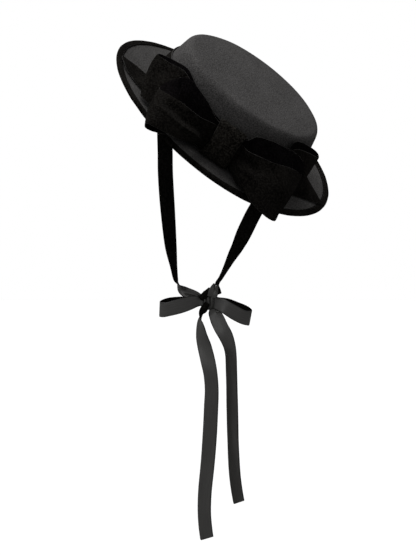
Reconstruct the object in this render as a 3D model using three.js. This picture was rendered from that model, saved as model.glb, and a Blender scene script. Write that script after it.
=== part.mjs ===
// Mini hat: a small tilted boater with a big velvet bow and chin ribbons tied in a bow.
//
// Units are millimetres and +Z is up. The origin is the middle of the head opening, in the plane
// of the brim. The hat is built upright in a frame of its own (front = -Y, crown up = +Z) and then
// tilted as it is worn; the ribbons below it hang straight down and are built in the main frame.

import * as THREE from 'three';
import { mergeVertices } from 'three/addons/utils/BufferGeometryUtils.js';

const radians = THREE.MathUtils.degToRad;

// ---------------------------------------------------------------------------------------------
// Driving dimensions
// ---------------------------------------------------------------------------------------------

const GAP = 0.35; // clearance between neighbouring pieces

const TILT = { nod: 25, lean: 39 }; // degrees: towards the viewer, then down to the right

const CROWN = {
  baseRadius: 86, // outside, at the brim
  height: 52,
  taper: 12.2, // degrees from upright
  wall: 2,
  edgeRadius: 7, // rounding between side and top
  dome: 2.5, // rise of the top in the middle
};

const BRIM = { outerRadius: 121, thickness: 1.4, waveCos: 0.9, waveSin: 1.8 };

const BINDING = { outerRadius: 122.9, width: 7, thickness: 4, wall: 1 };

const BAND = { height: 31, thickness: 1.2 };

const BOW = {
  turn: 9, // degrees round the crown from the front, towards the right
  thickness: 1, // of its wide velvet ribbon
  knotWidth: 30,
};

const TIE = { thickness: 1, slant: 3 }; // narrow ribbon of the chin ties, cut on the slant

const CHIN_KNOT = { x: -14.4, y: -13.5, z: -165.8, across: 9.2, deep: 13, tall: 18.6 };

const SIDES = 48; // facets round the hat

// ---------------------------------------------------------------------------------------------
// Materials
// ---------------------------------------------------------------------------------------------

const finish = (color, roughness) => new THREE.MeshStandardMaterial({ color, roughness, metalness: 0 });

const FELT = finish(0x3a3a3b, 0.95);
const VELVET = finish(0x0c0b0c, 1.0);
const RIBBON_VELVET = finish(0x0e0d0e, 1.0);
const RIBBON_BACK = finish(0x333334, 0.6);

// ---------------------------------------------------------------------------------------------
// Shape helpers
// ---------------------------------------------------------------------------------------------

// Outside radius of the crown at a height above the brim.
const crownRadius = (height) => CROWN.baseRadius - height * Math.tan(radians(CROWN.taper));

// The brim's gentle wave: nothing at the crown, the full height at the rim.
function brimWave(x, y) {
  const reach = Math.hypot(x, y) - CROWN.baseRadius;
  const share = THREE.MathUtils.clamp(reach / (BRIM.outerRadius - CROWN.baseRadius), 0, 1.2);
  const angle = Math.atan2(y, x);
  return share * share * (BRIM.waveCos * Math.cos(2 * angle) + BRIM.waveSin * Math.sin(2 * angle));
}

function followBrim(geometry) {
  const points = geometry.attributes.position;
  for (let i = 0; i < points.count; i += 1) {
    points.setZ(i, points.getZ(i) + brimWave(points.getX(i), points.getY(i)));
  }
  return geometry;
}

// Closed geometry from welded corners only, with fresh normals.
function weld(geometry) {
  geometry.deleteAttribute('normal');
  geometry.deleteAttribute('uv');
  const welded = mergeVertices(geometry, 1e-4);
  welded.computeVertexNormals();
  return welded;
}

// A solid of revolution about the hat's axis. The profile is a list of [radius, height] that runs
// with the material on its left, and either closes on itself or ends on the axis.
function turned(profile, sides = SIDES) {
  const points = profile.map(([radius, height]) => new THREE.Vector2(Math.max(radius, 0), height));
  const geometry = new THREE.LatheGeometry(points, sides);
  geometry.rotateX(Math.PI / 2);
  return geometry;
}

// Points of an arc round (radius, height), angles in degrees from outwards (0) to up (90).
function arc(radius, height, size, from, to, steps) {
  return Array.from({ length: steps + 1 }, (_, i) => {
    const angle = radians(from + ((to - from) * i) / steps);
    return [radius + size * Math.cos(angle), height + size * Math.sin(angle)];
  });
}

// Hat coordinates of a place given as turn round the crown (degrees from the front, positive to
// the right), distance out from the axis, and height above the brim.
function place(turn, out, up) {
  const angle = radians(turn);
  return new THREE.Vector3(out * Math.sin(angle), -out * Math.cos(angle), up);
}

// Rows of a table as objects, one key per named column.
const table = (columns, rows) => rows.map(
  (row) => Object.fromEntries(columns.map((column, i) => [column, row[i]])),
);

// Smooth curve through points, evenly paced so that it never overshoots.
const smooth = (points, closed = false) => new THREE.CatmullRomCurve3(points, closed, 'centripetal');

// A ribbon as one closed solid. Each section gives its two edges as points and how far its middle
// swells (belly) and creases (pleat) off the straight line between them, along the face's normal.
function ribbon(sections, { thickness, along = 26, across = 4 }) {
  const top = smooth(sections.map((s) => s.top));
  const hem = smooth(sections.map((s) => s.hem));
  const amount = (name, t) => {
    const x = t * (sections.length - 1);
    const i = Math.min(Math.floor(x), sections.length - 2);
    const near = sections[i][name] ?? 0;
    const far = sections[i + 1][name] ?? 0;
    return THREE.MathUtils.lerp(near, far, THREE.MathUtils.smoothstep(x - i, 0, 1));
  };

  const rows = Array.from({ length: along + 1 }, (_, i) => {
    const t = i / along;
    const a = top.getPoint(t);
    const b = hem.getPoint(t);
    const run = top.getTangent(t).add(hem.getTangent(t)).normalize();
    const outwards = new THREE.Vector3().subVectors(b, a).cross(run).normalize();
    const belly = amount('belly', t);
    const pleat = amount('pleat', t);
    return Array.from({ length: across + 1 }, (_, j) => {
      const v = j / across;
      const swell = belly * Math.sin(Math.PI * v) + pleat * Math.sin(2 * Math.PI * v);
      return new THREE.Vector3().lerpVectors(a, b, v).addScaledVector(outwards, swell);
    });
  });

  return thicken(rows, thickness);
}

// Gives a grid of points a thickness, half to each side, and closes it all round.
function thicken(rows, thickness) {
  const last = rows.length - 1;
  const width = rows[0].length - 1;
  const normal = (i, j) => {
    const ahead = rows[Math.min(i + 1, last)][j].clone();
    const aside = rows[i][Math.min(j + 1, width)].clone();
    const alongRun = ahead.sub(rows[Math.max(i - 1, 0)][j]);
    const acrossRun = aside.sub(rows[i][Math.max(j - 1, 0)]);
    return acrossRun.cross(alongRun).normalize();
  };
  const positions = [];
  for (const side of [1, -1]) {
    rows.forEach((row, i) => row.forEach((point, j) => {
      const corner = point.clone().addScaledVector(normal(i, j), (side * thickness) / 2);
      positions.push(corner.x, corner.y, corner.z);
    }));
  }
  const layer = rows.length * (width + 1);
  const at = (side, i, j) => side * layer + i * (width + 1) + j;
  const faces = [];
  const quad = (a, b, c, d) => faces.push(a, b, c, a, c, d);
  for (let i = 0; i < last; i += 1) {
    for (let j = 0; j < width; j += 1) {
      quad(at(0, i, j), at(0, i, j + 1), at(0, i + 1, j + 1), at(0, i + 1, j));
      quad(at(1, i, j), at(1, i + 1, j), at(1, i + 1, j + 1), at(1, i, j + 1));
    }
    quad(at(0, i, 0), at(0, i + 1, 0), at(1, i + 1, 0), at(1, i, 0));
    quad(at(0, i, width), at(1, i, width), at(1, i + 1, width), at(0, i + 1, width));
  }
  for (let j = 0; j < width; j += 1) {
    quad(at(0, 0, j), at(1, 0, j), at(1, 0, j + 1), at(0, 0, j + 1));
    quad(at(0, last, j), at(0, last, j + 1), at(1, last, j + 1), at(1, last, j));
  }
  const geometry = new THREE.BufferGeometry();
  geometry.setAttribute('position', new THREE.Float32BufferAttribute(positions, 3));
  geometry.setIndex(faces);
  geometry.computeVertexNormals();
  return geometry;
}

function piece(name, geometry, material) {
  const mesh = new THREE.Mesh(geometry, material);
  mesh.name = name;
  return mesh;
}

// ---------------------------------------------------------------------------------------------
// Crown, brim, binding and band (hat frame)
// ---------------------------------------------------------------------------------------------

function crown() {
  const { height, taper, wall, edgeRadius, dome } = CROWN;
  const foot = BRIM.thickness / 2 + GAP;
  const edgeHeight = height - edgeRadius;
  const edgeCentre = crownRadius(edgeHeight) - edgeRadius / Math.cos(radians(taper));
  const shell = (inset, steps) => [
    [crownRadius(foot) - inset, foot],
    ...arc(edgeCentre, edgeHeight, edgeRadius - inset, taper, 90, steps),
    [edgeCentre / 2, height - inset + dome * 0.75],
    [0, height - inset + dome],
  ];
  return piece('crown', weld(turned([...shell(wall, 3).reverse(), ...shell(0, 4)])), FELT);
}

function brim() {
  const half = BRIM.thickness / 2;
  const inner = CROWN.baseRadius - CROWN.wall;
  const radii = [inner, (inner + BRIM.outerRadius) / 2, BRIM.outerRadius];
  const profile = [
    ...radii.map((radius) => [radius, -half]),
    ...radii.map((radius) => [radius, half]).reverse(),
    [inner, -half],
  ];
  return piece('brim', followBrim(weld(turned(profile))), FELT);
}

// A padded roll folded round the rim, with a slot that the brim's edge sits in.
function brimBinding() {
  const { outerRadius, width, thickness, wall } = BINDING;
  const half = thickness / 2;
  const slot = BRIM.thickness / 2 + GAP;
  const lip = outerRadius - width;
  const side = arc(outerRadius - half, 0, half, -90, 90, 4);
  const profile = [
    [lip, -slot],
    [lip + 0.5, -half * 0.82],
    [lip + width * 0.3, -half],
    ...side,
    [lip + width * 0.3, half],
    [lip + 0.5, half * 0.82],
    [lip, slot],
    [outerRadius - wall, slot],
    [outerRadius - wall, -slot],
    [lip, -slot],
  ];
  return piece('brim_binding', followBrim(weld(turned(profile))), VELVET);
}

function hatBand() {
  const foot = BRIM.thickness / 2 + GAP;
  const inner = (height) => crownRadius(height) + GAP;
  const outer = (height) => inner(height) + BAND.thickness;
  const profile = [
    [inner(foot), foot],
    [outer(foot), foot],
    [outer(BAND.height), BAND.height],
    [inner(BAND.height), BAND.height],
    [inner(foot), foot],
  ];
  return piece('hat_band', weld(turned(profile)), VELVET);
}

// ---------------------------------------------------------------------------------------------
// Big bow (hat frame, turned to its place on the crown)
// ---------------------------------------------------------------------------------------------

// Loops and tails, from the middle of the knot outwards. Each row is a section across the ribbon:
// where its upper edge lies (turn from the knot in degrees, distance out, height up), where its
// lower edge lies, then how far the middle swells and how deep it is pleated.
const SECTION = ['topTurn', 'topOut', 'topUp', 'hemTurn', 'hemOut', 'hemUp', 'belly', 'pleat'];

const FRONT_LOOP_LEFT = [
  [-1, 88, 33, -1, 93.6, 7, 0, 0],
  [-10, 89.2, 33.5, -10, 95.2, 6.5, 0, 0],
  [-22.1, 86, 39.5, -16, 101, 4.6, -2, 0],
  [-31.5, 84.3, 40.9, -20, 108.5, 4, -5, 0],
  [-40.9, 83.6, 41.1, -23, 116.5, 3.8, -8, 0],
  [-45.5, 86.2, 38, -25, 124, 3.2, -8, 0],
  [-47.8, 91.2, 30.9, -21.5, 131.5, 7.2, -9, 0],
  [-48.4, 96.5, 23.9, -25.5, 140.5, 3.3, -6, 0],
  [-45.7, 103, 19.9, -27.4, 145, 3.7, 3, 0],
  [-39.8, 109, 23.8, -27.5, 146.5, 7.6, 4, 0],
  [-34.5, 112.5, 28, -25.2, 145, 9.7, 4, 0],
  [-28.6, 110.5, 30.8, -21.5, 139, 11.1, 3, 1.5],
  [-22.8, 107.5, 31.2, -17.4, 131, 11.8, 2, 3.5],
  [-17.2, 103, 30.6, -13.5, 121, 12.9, 2, 3.5],
  [-10.5, 91.7, 30, -10.5, 96.9, 6.5, 0.5, 0.5],
  [-1, 90.1, 31, -1, 95.3, 7, 0, 0],
];

const FRONT_LOOP_RIGHT = [
  [1, 88, 33, 1, 93.6, 7, 0, 0],
  [10, 89.1, 34, 10, 95.2, 6.5, 0, 0],
  [13.9, 86, 40.5, 16, 100, 4.8, -1, 0],
  [20.2, 85, 43.2, 21, 108, 4.2, -3, 0],
  [28, 85, 44.2, 25.5, 117, 4.2, -6, 0],
  [35.7, 87.2, 44.5, 28, 128, 4.7, -7, 0],
  [42, 92, 44.9, 30.3, 135, 3.6, -5, 0],
  [47.3, 98, 41, 32.2, 142.5, 3.3, 0, 0],
  [49.1, 102.5, 32.1, 31, 145, 3.4, 3, 0],
  [40.2, 106, 36.6, 27.9, 144.5, 3.8, 4, 0],
  [32.9, 107.5, 38.1, 24.3, 141, 5.2, 4, 0.5],
  [25.9, 107, 36.1, 20.6, 133, 6.3, 3.5, 1.5],
  [18.1, 103.5, 33.4, 16.8, 120, 7.1, 3, 3.5],
  [12.4, 98.5, 30.3, 15.3, 108, 2.4, 2.5, 2.5],
  [10.5, 91.9, 29, 10.5, 97, 6.2, 0.5, 0.5],
  [1, 90.1, 31, 1, 95.3, 7, 0, 0],
];

const REAR_LOOP_LEFT = [
  [-1, 84.7, 33, -1, 90.3, 7, 0, 0],
  [-10, 85.8, 34, -10, 91.9, 6, 0, 0],
  [-22, 82.2, 37, -22, 95, 3.6, 0, 0],
  [-38.1, 80.6, 40.4, -33, 98, 2.8, -0.5, 0],
  [-50.3, 79.7, 43.2, -41, 102.5, 2.4, -1, 0],
  [-64.2, 82, 37.1, -46.5, 107, 2.2, -1, 0],
  [-76.6, 90.5, 29.1, -49.5, 110, 2.4, 2, 0],
  [-74.5, 95, 28.6, -47.5, 112, 3.8, 3.5, 0],
  [-62.5, 88.5, 34.1, -42, 109, 4.6, 0.5, 0],
  [-49.8, 83, 40.6, -36, 105, 4.8, 0, 0],
  [-37.3, 83, 38.7, -28, 101, 5, 0, 0],
  [-22, 84.6, 35, -20, 98, 5.6, 0, 0],
  [-10, 87.7, 33, -10, 93.5, 6.4, 0, 0],
  [-1, 86.3, 33, -1, 92, 7, 0, 0],
];

const REAR_LOOP_RIGHT = [
  [1, 84.7, 33, 1, 90.3, 7, 0, 0],
  [10, 85.8, 34, 10, 91.9, 6, 0, 0],
  [22, 82.2, 37.4, 22, 95, 3.6, 0, 0],
  [33.9, 80.8, 41.1, 34, 98, 2.8, -0.5, 0],
  [43.7, 80, 41.8, 39, 100, 2.4, -0.5, 0],
  [43.8, 79.4, 49.6, 42.2, 101.5, 2.4, -1, 0],
  [62.6, 81.2, 47, 45, 104.5, 2.3, -1, 0],
  [70.2, 88, 43.6, 47.5, 107.5, 2.4, 1, 0],
  [68.2, 91.5, 42.2, 46.5, 109.5, 3.8, 2, 0],
  [58.2, 87.6, 44.8, 43, 107, 4.6, 1, 0],
  [46.8, 83.8, 45.2, 37, 104, 4.8, 0, 0],
  [41.2, 82.4, 40.8, 34, 102, 5, 0, 0],
  [33.2, 82.8, 39.1, 30, 101, 5, 0, 0],
  [22, 84.6, 35, 20, 98, 5.6, 0, 0],
  [10, 87.7, 33, 10, 93.5, 6.4, 0, 0],
  [1, 86.3, 33, 1, 92, 7, 0, 0],
];

const TAIL_LEFT = [
  [-1, 83.7, 30, -1, 88.7, 7, 0, 0],
  [-10, 85.2, 29, -10, 90.5, 5, 0, 0],
  [-25, 83.3, 27, -25, 89.6, 2.6, 0, 0],
  [-38, 83.8, 23, -38, 91.2, 2, 0, 0],
  [-50, 86, 18, -48, 95.3, 1.9, 0, 0],
  [-62, 89.5, 12, -57, 101.8, 1.9, 0.8, 0],
  [-74, 94, 6, -64.5, 109, 2, 1, 0],
  [-80, 103, 3.6, -70.5, 114.5, 2.6, 0.5, 0],
  [-80, 118.6, 3.6, -78.4, 119, 3.6, 0, 0],
];

const TAIL_RIGHT = [
  [1, 83.7, 30, 1, 88.7, 7, 0, 0],
  [10, 85.2, 29, 10, 90.5, 5, 0, 0],
  [25, 83.3, 27, 25, 89.6, 2.6, 0, 0],
  [38, 83.8, 24, 38, 91.2, 2, 0, 0],
  [50, 85.5, 22, 50, 94, 1.9, 0, 0],
  [63, 88, 18.5, 61, 98, 1.9, 0, 0],
  [76, 90.5, 16, 69.5, 106.5, 2, -0.5, 0],
  [85, 96.5, 8, 74, 113.5, 2.6, -0.5, 0],
  [77.5, 118.8, 3.8, 75.9, 119.2, 3.8, 0, 0],
];

// Settles a shape from the bow's own frame (knot in front) into the hat's.
const setOnHat = (geometry) => followBrim(geometry.rotateZ(radians(BOW.turn)));

function bowPiece(name, rows, detail) {
  const side = Math.sign(rows.at(-1)[0]);
  const sections = table(SECTION, rows).map((s) => ({
    top: place(s.topTurn, s.topOut, s.topUp),
    hem: place(s.hemTurn, s.hemOut, s.hemUp),
    belly: -side * s.belly,
    pleat: side * s.pleat,
  }));
  return piece(name, setOnHat(ribbon(sections, { thickness: BOW.thickness, ...detail })), VELVET);
}

// The knot is a belt of ribbon round the gathered middle, flat behind against the hat band.
// Its outline is seen from the side: out from the axis, and up.
function bowKnot() {
  const outline = [
    [81.05, 32.2], [83.7, 20], [86.3, 8], [87.4, 3.2], [92, 1.6], [97.2, 2.4], [99.6, 7],
    [100, 14], [98.6, 22], [95.2, 30], [90.6, 35.4], [85.6, 37.2], [81.9, 35.8],
  ];
  const hole = [
    [82.1, 32.2], [84.75, 20], [87.35, 8], [88.5, 4.4], [92, 2.9], [96.4, 3.7], [98.3, 7.7],
    [98.8, 14], [97.4, 21.6], [94.1, 29.2], [90, 34.1], [85.8, 35.9], [83, 34.8],
  ];
  const loop = (points) => smooth(points.map(([out, up]) => new THREE.Vector3(out, up, 0)), true)
    .getPoints(2 * points.length)
    .slice(0, -1)
    .map((point) => new THREE.Vector2(point.x, point.y));
  const section = new THREE.Shape(loop(outline));
  section.holes.push(new THREE.Path(loop(hole)));
  const options = { depth: BOW.knotWidth, bevelEnabled: false, steps: 2 };
  const geometry = new THREE.ExtrudeGeometry(section, options);
  geometry.translate(0, 0, -BOW.knotWidth / 2);
  const out = new THREE.Vector3(0, -1, 0);
  const up = new THREE.Vector3(0, 0, 1);
  const sideways = out.clone().cross(up);
  geometry.applyMatrix4(new THREE.Matrix4().makeBasis(out, up, sideways));
  return piece('bow_knot', setOnHat(weld(geometry)), VELVET);
}

// ---------------------------------------------------------------------------------------------
// Chin ribbons (main frame: they hang straight down)
// ---------------------------------------------------------------------------------------------

// Middle of the ribbon, how far its face is turned away from the front (0 shows the velvet,
// 180 the back) and its width, which shrinks where it is gathered.
const STRAP = ['x', 'y', 'z', 'turn', 'width'];

const TIE_LEFT = [
  [-43.9, 1.7, 67.8, 87, 14],
  [-49, 4.9, 63.9, 87, 14],
  [-54.1, 8.1, 60, 87, 14],
  [-58.2, 10.2, 55.4, 86, 14],
  [-59.2, 9.6, 46, 72, 14],
  [-57.6, 5.4, 16, 32, 14],
  [-55.8, 0.6, -23, 8, 14],
  [-55.5, -3, -42.2, 7, 14],
  [-54.5, -5, -61.3, 10, 14],
  [-53.1, -7, -80.3, 19, 14],
  [-51.6, -9, -99.3, 30, 14],
  [-49.8, -10.5, -118.2, 44, 14],
  [-47.4, -11.5, -134.1, 62, 13],
  [-45.2, -12, -147, 71, 11],
  [-43.2, -12.4, -152, 100, 10],
  [-40, -12.7, -155.8, 146, 9],
  [-36, -13, -158.4, 186, 9],
  [-31.6, -13.2, -159.6, 198, 8.5],
  [-26.6, -13.4, -161.2, 202, 7.5],
  [-22.4, -13.5, -163, 204, 5.5],
];

const TIE_RIGHT = [
  [55.6, -43.1, -39.7, 57, 14],
  [49.3, -38.5, -51.7, 57, 14],
  [44.6, -36, -58.4, 54, 14],
  [40.4, -35, -65, 42, 14],
  [34.3, -33, -73.7, 20, 14],
  [27.3, -30.6, -85.6, 3, 14],
  [20.2, -27, -100.2, 6, 14],
  [13.2, -23, -115.1, 36, 14],
  [9.1, -21, -122.5, 47, 14],
  [5.1, -19, -130.1, 59, 13.5],
  [1.2, -17.5, -137.6, 67, 12.5],
  [-2.9, -16, -145, 70, 10.5],
  [-5.6, -14.4, -149, 66, 8.5],
  [-6.6, -13, -152.4, 60, 7.5],
  [-5.4, -12.4, -156, 55, 7],
  [-4.2, -12.1, -160.4, 50, 6.5],
];

const CHIN_TAIL_LEFT = [
  [-15.4, -21.3, -168.6, 12, 4.5],
  [-17.2, -21.5, -171.8, 15, 6],
  [-19.3, -21.2, -175.4, 30, 7.5],
  [-21.2, -20.4, -178.6, 62, 8],
  [-22.3, -19.8, -181.8, 92, 9],
  [-22.6, -19.4, -186, 113, 11],
  [-22.2, -20.2, -191.4, 125, 13],
  [-20.9, -22.6, -200.3, 140, 14],
  [-18, -25.6, -210.3, 158, 14],
  [-15, -28.8, -222.6, 162, 14],
  [-12.7, -31, -234, 155, 14],
  [-11.5, -31.6, -248.9, 153, 14],
  [-12, -31, -264.8, 157, 14],
  [-13.3, -29, -292.5, 158, 14],
  [-15.4, -27, -320.2, 155, 14],
  [-17.8, -25.8, -345, 152, 14],
  [-18.4, -25, -363.8, 150, 14],
  [-17.4, -25, -378.6, 152, 14],
  [-15.9, -25, -389.3, 152, 14],
];

const CHIN_TAIL_RIGHT = [
  [-6.4, -13.9, -171.2, 178, 5.6],
  [-6.6, -14.6, -174.4, 175, 7.5],
  [-8.2, -15.2, -177.2, 172, 11.8],
  [-7.6, -16.4, -180.4, 167, 12.6],
  [-5.5, -18.6, -185.4, 170, 13.5],
  [-2.4, -21.8, -191.9, 170, 13.5],
  [2, -25.2, -199.8, 157, 14],
  [5, -27.2, -208.2, 143, 14],
  [6.4, -28, -217.1, 137, 14],
  [6.9, -27.8, -230, 136, 14],
  [7.4, -26.6, -246.8, 136, 14],
  [7.9, -24.6, -270.6, 138, 14],
  [8.6, -22.8, -298.3, 137, 14],
  [9.9, -21.8, -326, 138, 14],
  [11.9, -21.4, -343.3, 138, 14],
  [14.2, -21.4, -356, 138, 14],
];

// Upper and lower edge of the small bow's loops, from the back of the knot round to its front.
const EDGES = ['topX', 'topY', 'topZ', 'hemX', 'hemY', 'hemZ'];

const CHIN_LOOP_LEFT = [
  [-19.5, -11.2, -164.3, -19.5, -11.2, -170.8],
  [-22.4, -11, -163.9, -22.4, -11, -170.6],
  [-30.9, -10, -162.5, -30.9, -10, -173.8],
  [-42.2, -9.6, -162.6, -42.4, -9.6, -177],
  [-53.7, -10.6, -163.9, -53.7, -10.6, -179.2],
  [-60.2, -14.4, -166.8, -60.7, -14.6, -181.5],
  [-56, -19, -168.1, -57, -19, -182.1],
  [-48.2, -20, -166.2, -49.5, -20.2, -180.7],
  [-38.4, -19.6, -163.5, -39.3, -19.8, -178.2],
  [-29.5, -18, -161.7, -30.4, -18.2, -175],
  [-22.4, -16, -162.4, -22.6, -16, -171.7],
  [-19.5, -16.6, -163, -19.5, -16.6, -172.4],
];

const CHIN_LOOP_RIGHT = [
  [-9.3, -11.6, -163.4, -9.3, -11.6, -170.8],
  [-5.2, -11.5, -163.3, -5.2, -11.5, -171],
  [3.9, -10, -164.3, 2.3, -10, -177.8],
  [13.5, -9.8, -167.7, 10.8, -9.8, -182.7],
  [22.3, -10.8, -171.4, 19.4, -10.8, -186.3],
  [26.6, -14.6, -175.1, 23.8, -14.8, -189.9],
  [20.6, -18.6, -175.4, 17.2, -18.6, -188.8],
  [13.3, -19.4, -171.6, 6.7, -19.6, -183.7],
  [5.7, -19.2, -167.3, -1.8, -19.4, -178],
  [0.6, -18, -164.6, -4.6, -17.8, -176.4],
  [-5.2, -16.2, -163, -7.2, -16.4, -175],
  [-9.3, -16.2, -162.6, -9.3, -16.2, -173.8],
];

// A narrow ribbon that follows a middle line and turns about it. `cut` slants its far end.
function strap(rows, { along, cut = 0 }) {
  const steps = table(STRAP, rows);
  const middle = smooth(steps.map((s) => new THREE.Vector3(s.x, s.y, s.z)));
  const amount = new THREE.CatmullRomCurve3(steps.map((s) => new THREE.Vector3(s.turn, s.width, 0)));
  const depthways = new THREE.Vector3(0, 1, 0);
  const grid = Array.from({ length: along + 1 }, (_, i) => {
    const t = i / along;
    const centre = middle.getPoint(t);
    const run = middle.getTangent(t);
    const { x: turn, y: width } = amount.getPoint(t);
    const level = new THREE.Vector3().crossVectors(run, depthways).normalize();
    const back = new THREE.Vector3().crossVectors(level, run).normalize();
    const across = level.multiplyScalar(Math.cos(radians(turn)))
      .addScaledVector(back, Math.sin(radians(turn)));
    const slant = i === along ? cut : 0;
    return [-0.5, 0, 0.5].map((share) => centre.clone()
      .addScaledVector(across, share * width)
      .addScaledVector(run, share * slant));
  });
  return thicken(grid, TIE.thickness);
}

const tie = (name, rows) => piece(name, strap(rows, { along: 38 }), RIBBON_VELVET);
const chinTail = (name, rows) => piece(name, strap(rows, { along: 30, cut: TIE.slant }), RIBBON_BACK);

function chinLoop(name, rows) {
  const sections = table(EDGES, rows).map((s) => ({
    top: new THREE.Vector3(s.topX, s.topY, s.topZ),
    hem: new THREE.Vector3(s.hemX, s.hemY, s.hemZ),
  }));
  return piece(name, ribbon(sections, { thickness: TIE.thickness, along: 26, across: 1 }), RIBBON_BACK);
}

function chinKnot() {
  const geometry = weld(new THREE.SphereGeometry(0.5, 16, 10));
  const mesh = piece('chin_knot', geometry, RIBBON_BACK);
  mesh.scale.set(CHIN_KNOT.across, CHIN_KNOT.deep, CHIN_KNOT.tall);
  mesh.position.set(CHIN_KNOT.x, CHIN_KNOT.y, CHIN_KNOT.z);
  return mesh;
}

// ---------------------------------------------------------------------------------------------
// Assembly
// ---------------------------------------------------------------------------------------------

const hat = new THREE.Group();
hat.rotation.set(radians(TILT.nod), radians(TILT.lean), 0, 'YXZ');
hat.add(
  crown(),
  brim(),
  brimBinding(),
  hatBand(),
  bowKnot(),
  bowPiece('bow_front_loop_left', FRONT_LOOP_LEFT, { along: 36, across: 5 }),
  bowPiece('bow_front_loop_right', FRONT_LOOP_RIGHT, { along: 36, across: 5 }),
  bowPiece('bow_rear_loop_left', REAR_LOOP_LEFT, { along: 36, across: 4 }),
  bowPiece('bow_rear_loop_right', REAR_LOOP_RIGHT, { along: 36, across: 4 }),
  bowPiece('bow_tail_left', TAIL_LEFT, { along: 18, across: 3 }),
  bowPiece('bow_tail_right', TAIL_RIGHT, { along: 18, across: 3 }),
);

const miniHat = new THREE.Group();
miniHat.add(
  hat,
  tie('tie_left', TIE_LEFT),
  tie('tie_right', TIE_RIGHT),
  chinKnot(),
  chinLoop('chin_loop_left', CHIN_LOOP_LEFT),
  chinLoop('chin_loop_right', CHIN_LOOP_RIGHT),
  chinTail('chin_tail_left', CHIN_TAIL_LEFT),
  chinTail('chin_tail_right', CHIN_TAIL_RIGHT),
);

export default miniHat;
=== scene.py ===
"""A small tilted boater with a velvet bow and chin ribbons, dressed for looks round its CAD frame.

Sizes are in metres in the row frame: +Z up, -Y to the front, origin in the middle of the head
opening. The hat itself is modelled upright round its own axis and then tilted as it is worn;
the chin ribbons hang straight down and are modelled in the row frame.
"""

from __future__ import annotations

import logging
import math
from dataclasses import dataclass
from enum import Enum

import bpy
import numpy as np
from mathutils import Matrix, Vector, noise

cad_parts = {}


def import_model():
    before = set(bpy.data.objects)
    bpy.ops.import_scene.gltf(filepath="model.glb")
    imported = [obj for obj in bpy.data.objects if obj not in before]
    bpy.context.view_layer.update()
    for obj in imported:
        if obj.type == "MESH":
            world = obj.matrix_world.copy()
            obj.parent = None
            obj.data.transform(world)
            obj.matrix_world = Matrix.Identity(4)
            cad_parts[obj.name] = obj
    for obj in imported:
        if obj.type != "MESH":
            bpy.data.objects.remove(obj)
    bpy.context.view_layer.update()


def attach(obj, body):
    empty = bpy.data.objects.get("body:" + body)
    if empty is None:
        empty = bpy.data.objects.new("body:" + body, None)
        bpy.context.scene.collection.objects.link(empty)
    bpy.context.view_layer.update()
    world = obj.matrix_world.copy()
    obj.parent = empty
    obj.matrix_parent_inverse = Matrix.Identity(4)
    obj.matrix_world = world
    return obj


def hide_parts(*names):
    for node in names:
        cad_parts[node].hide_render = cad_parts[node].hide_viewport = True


MM = 0.001
LOG = logging.getLogger("mini_hat")

Rows = tuple[tuple[float, ...], ...]
Grid = np.ndarray


# ----------------------------------------------------------------------------------------------
# Working by hand: selecting, shaping and applying
# ----------------------------------------------------------------------------------------------


def clear_selection() -> None:
    """Leaves nothing selected or active, so that the next operator works on new things only."""
    if bpy.context.object and bpy.context.object.mode != "OBJECT":
        bpy.ops.object.mode_set(mode="OBJECT")
    bpy.ops.object.select_all(action="DESELECT")
    bpy.context.view_layer.objects.active = None


def hold(piece: bpy.types.Object) -> None:
    """Makes a piece the only selected and active one."""
    clear_selection()
    piece.select_set(True)
    bpy.context.view_layer.objects.active = piece


def settle(piece: bpy.types.Object) -> None:
    """Moves a piece's place, turn and size into its mesh."""
    hold(piece)
    bpy.ops.object.transform_apply(location=True, rotation=True, scale=True)


def apply_all(piece: bpy.types.Object) -> None:
    """Applies a piece's modifiers in their order."""
    hold(piece)
    for modifier in list(piece.modifiers):
        bpy.ops.object.modifier_apply(modifier=modifier.name)


def soften(piece: bpy.types.Object, angle: float = 50.0) -> None:
    """Shades a piece smooth, with edges sharper than the angle in degrees kept crisp."""
    hold(piece)
    bpy.ops.object.shade_smooth_by_angle(angle=math.radians(angle))


def thicken(piece: bpy.types.Object, thickness: float, offset: float = 0.0) -> None:
    """Gives a surface its cloth thickness; the far side and the rim take the next materials.

    Args:
        piece: The surface.
        thickness: Thickness in metres.
        offset: -1 puts it behind the face, 0 to both sides, 1 in front.
    """
    wall = piece.modifiers.new("cloth", "SOLIDIFY")
    wall.thickness = thickness
    wall.offset = offset
    wall.use_even_offset = False
    wall.material_offset = 1
    wall.material_offset_rim = 2


def round_off(piece: bpy.types.Object, levels: int = 1) -> None:
    """Rounds a piece with subdivision, the same in view and render."""
    finer = piece.modifiers.new("round", "SUBSURF")
    finer.levels = levels
    finer.render_levels = levels
    finer.uv_smooth = "PRESERVE_BOUNDARIES"


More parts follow.
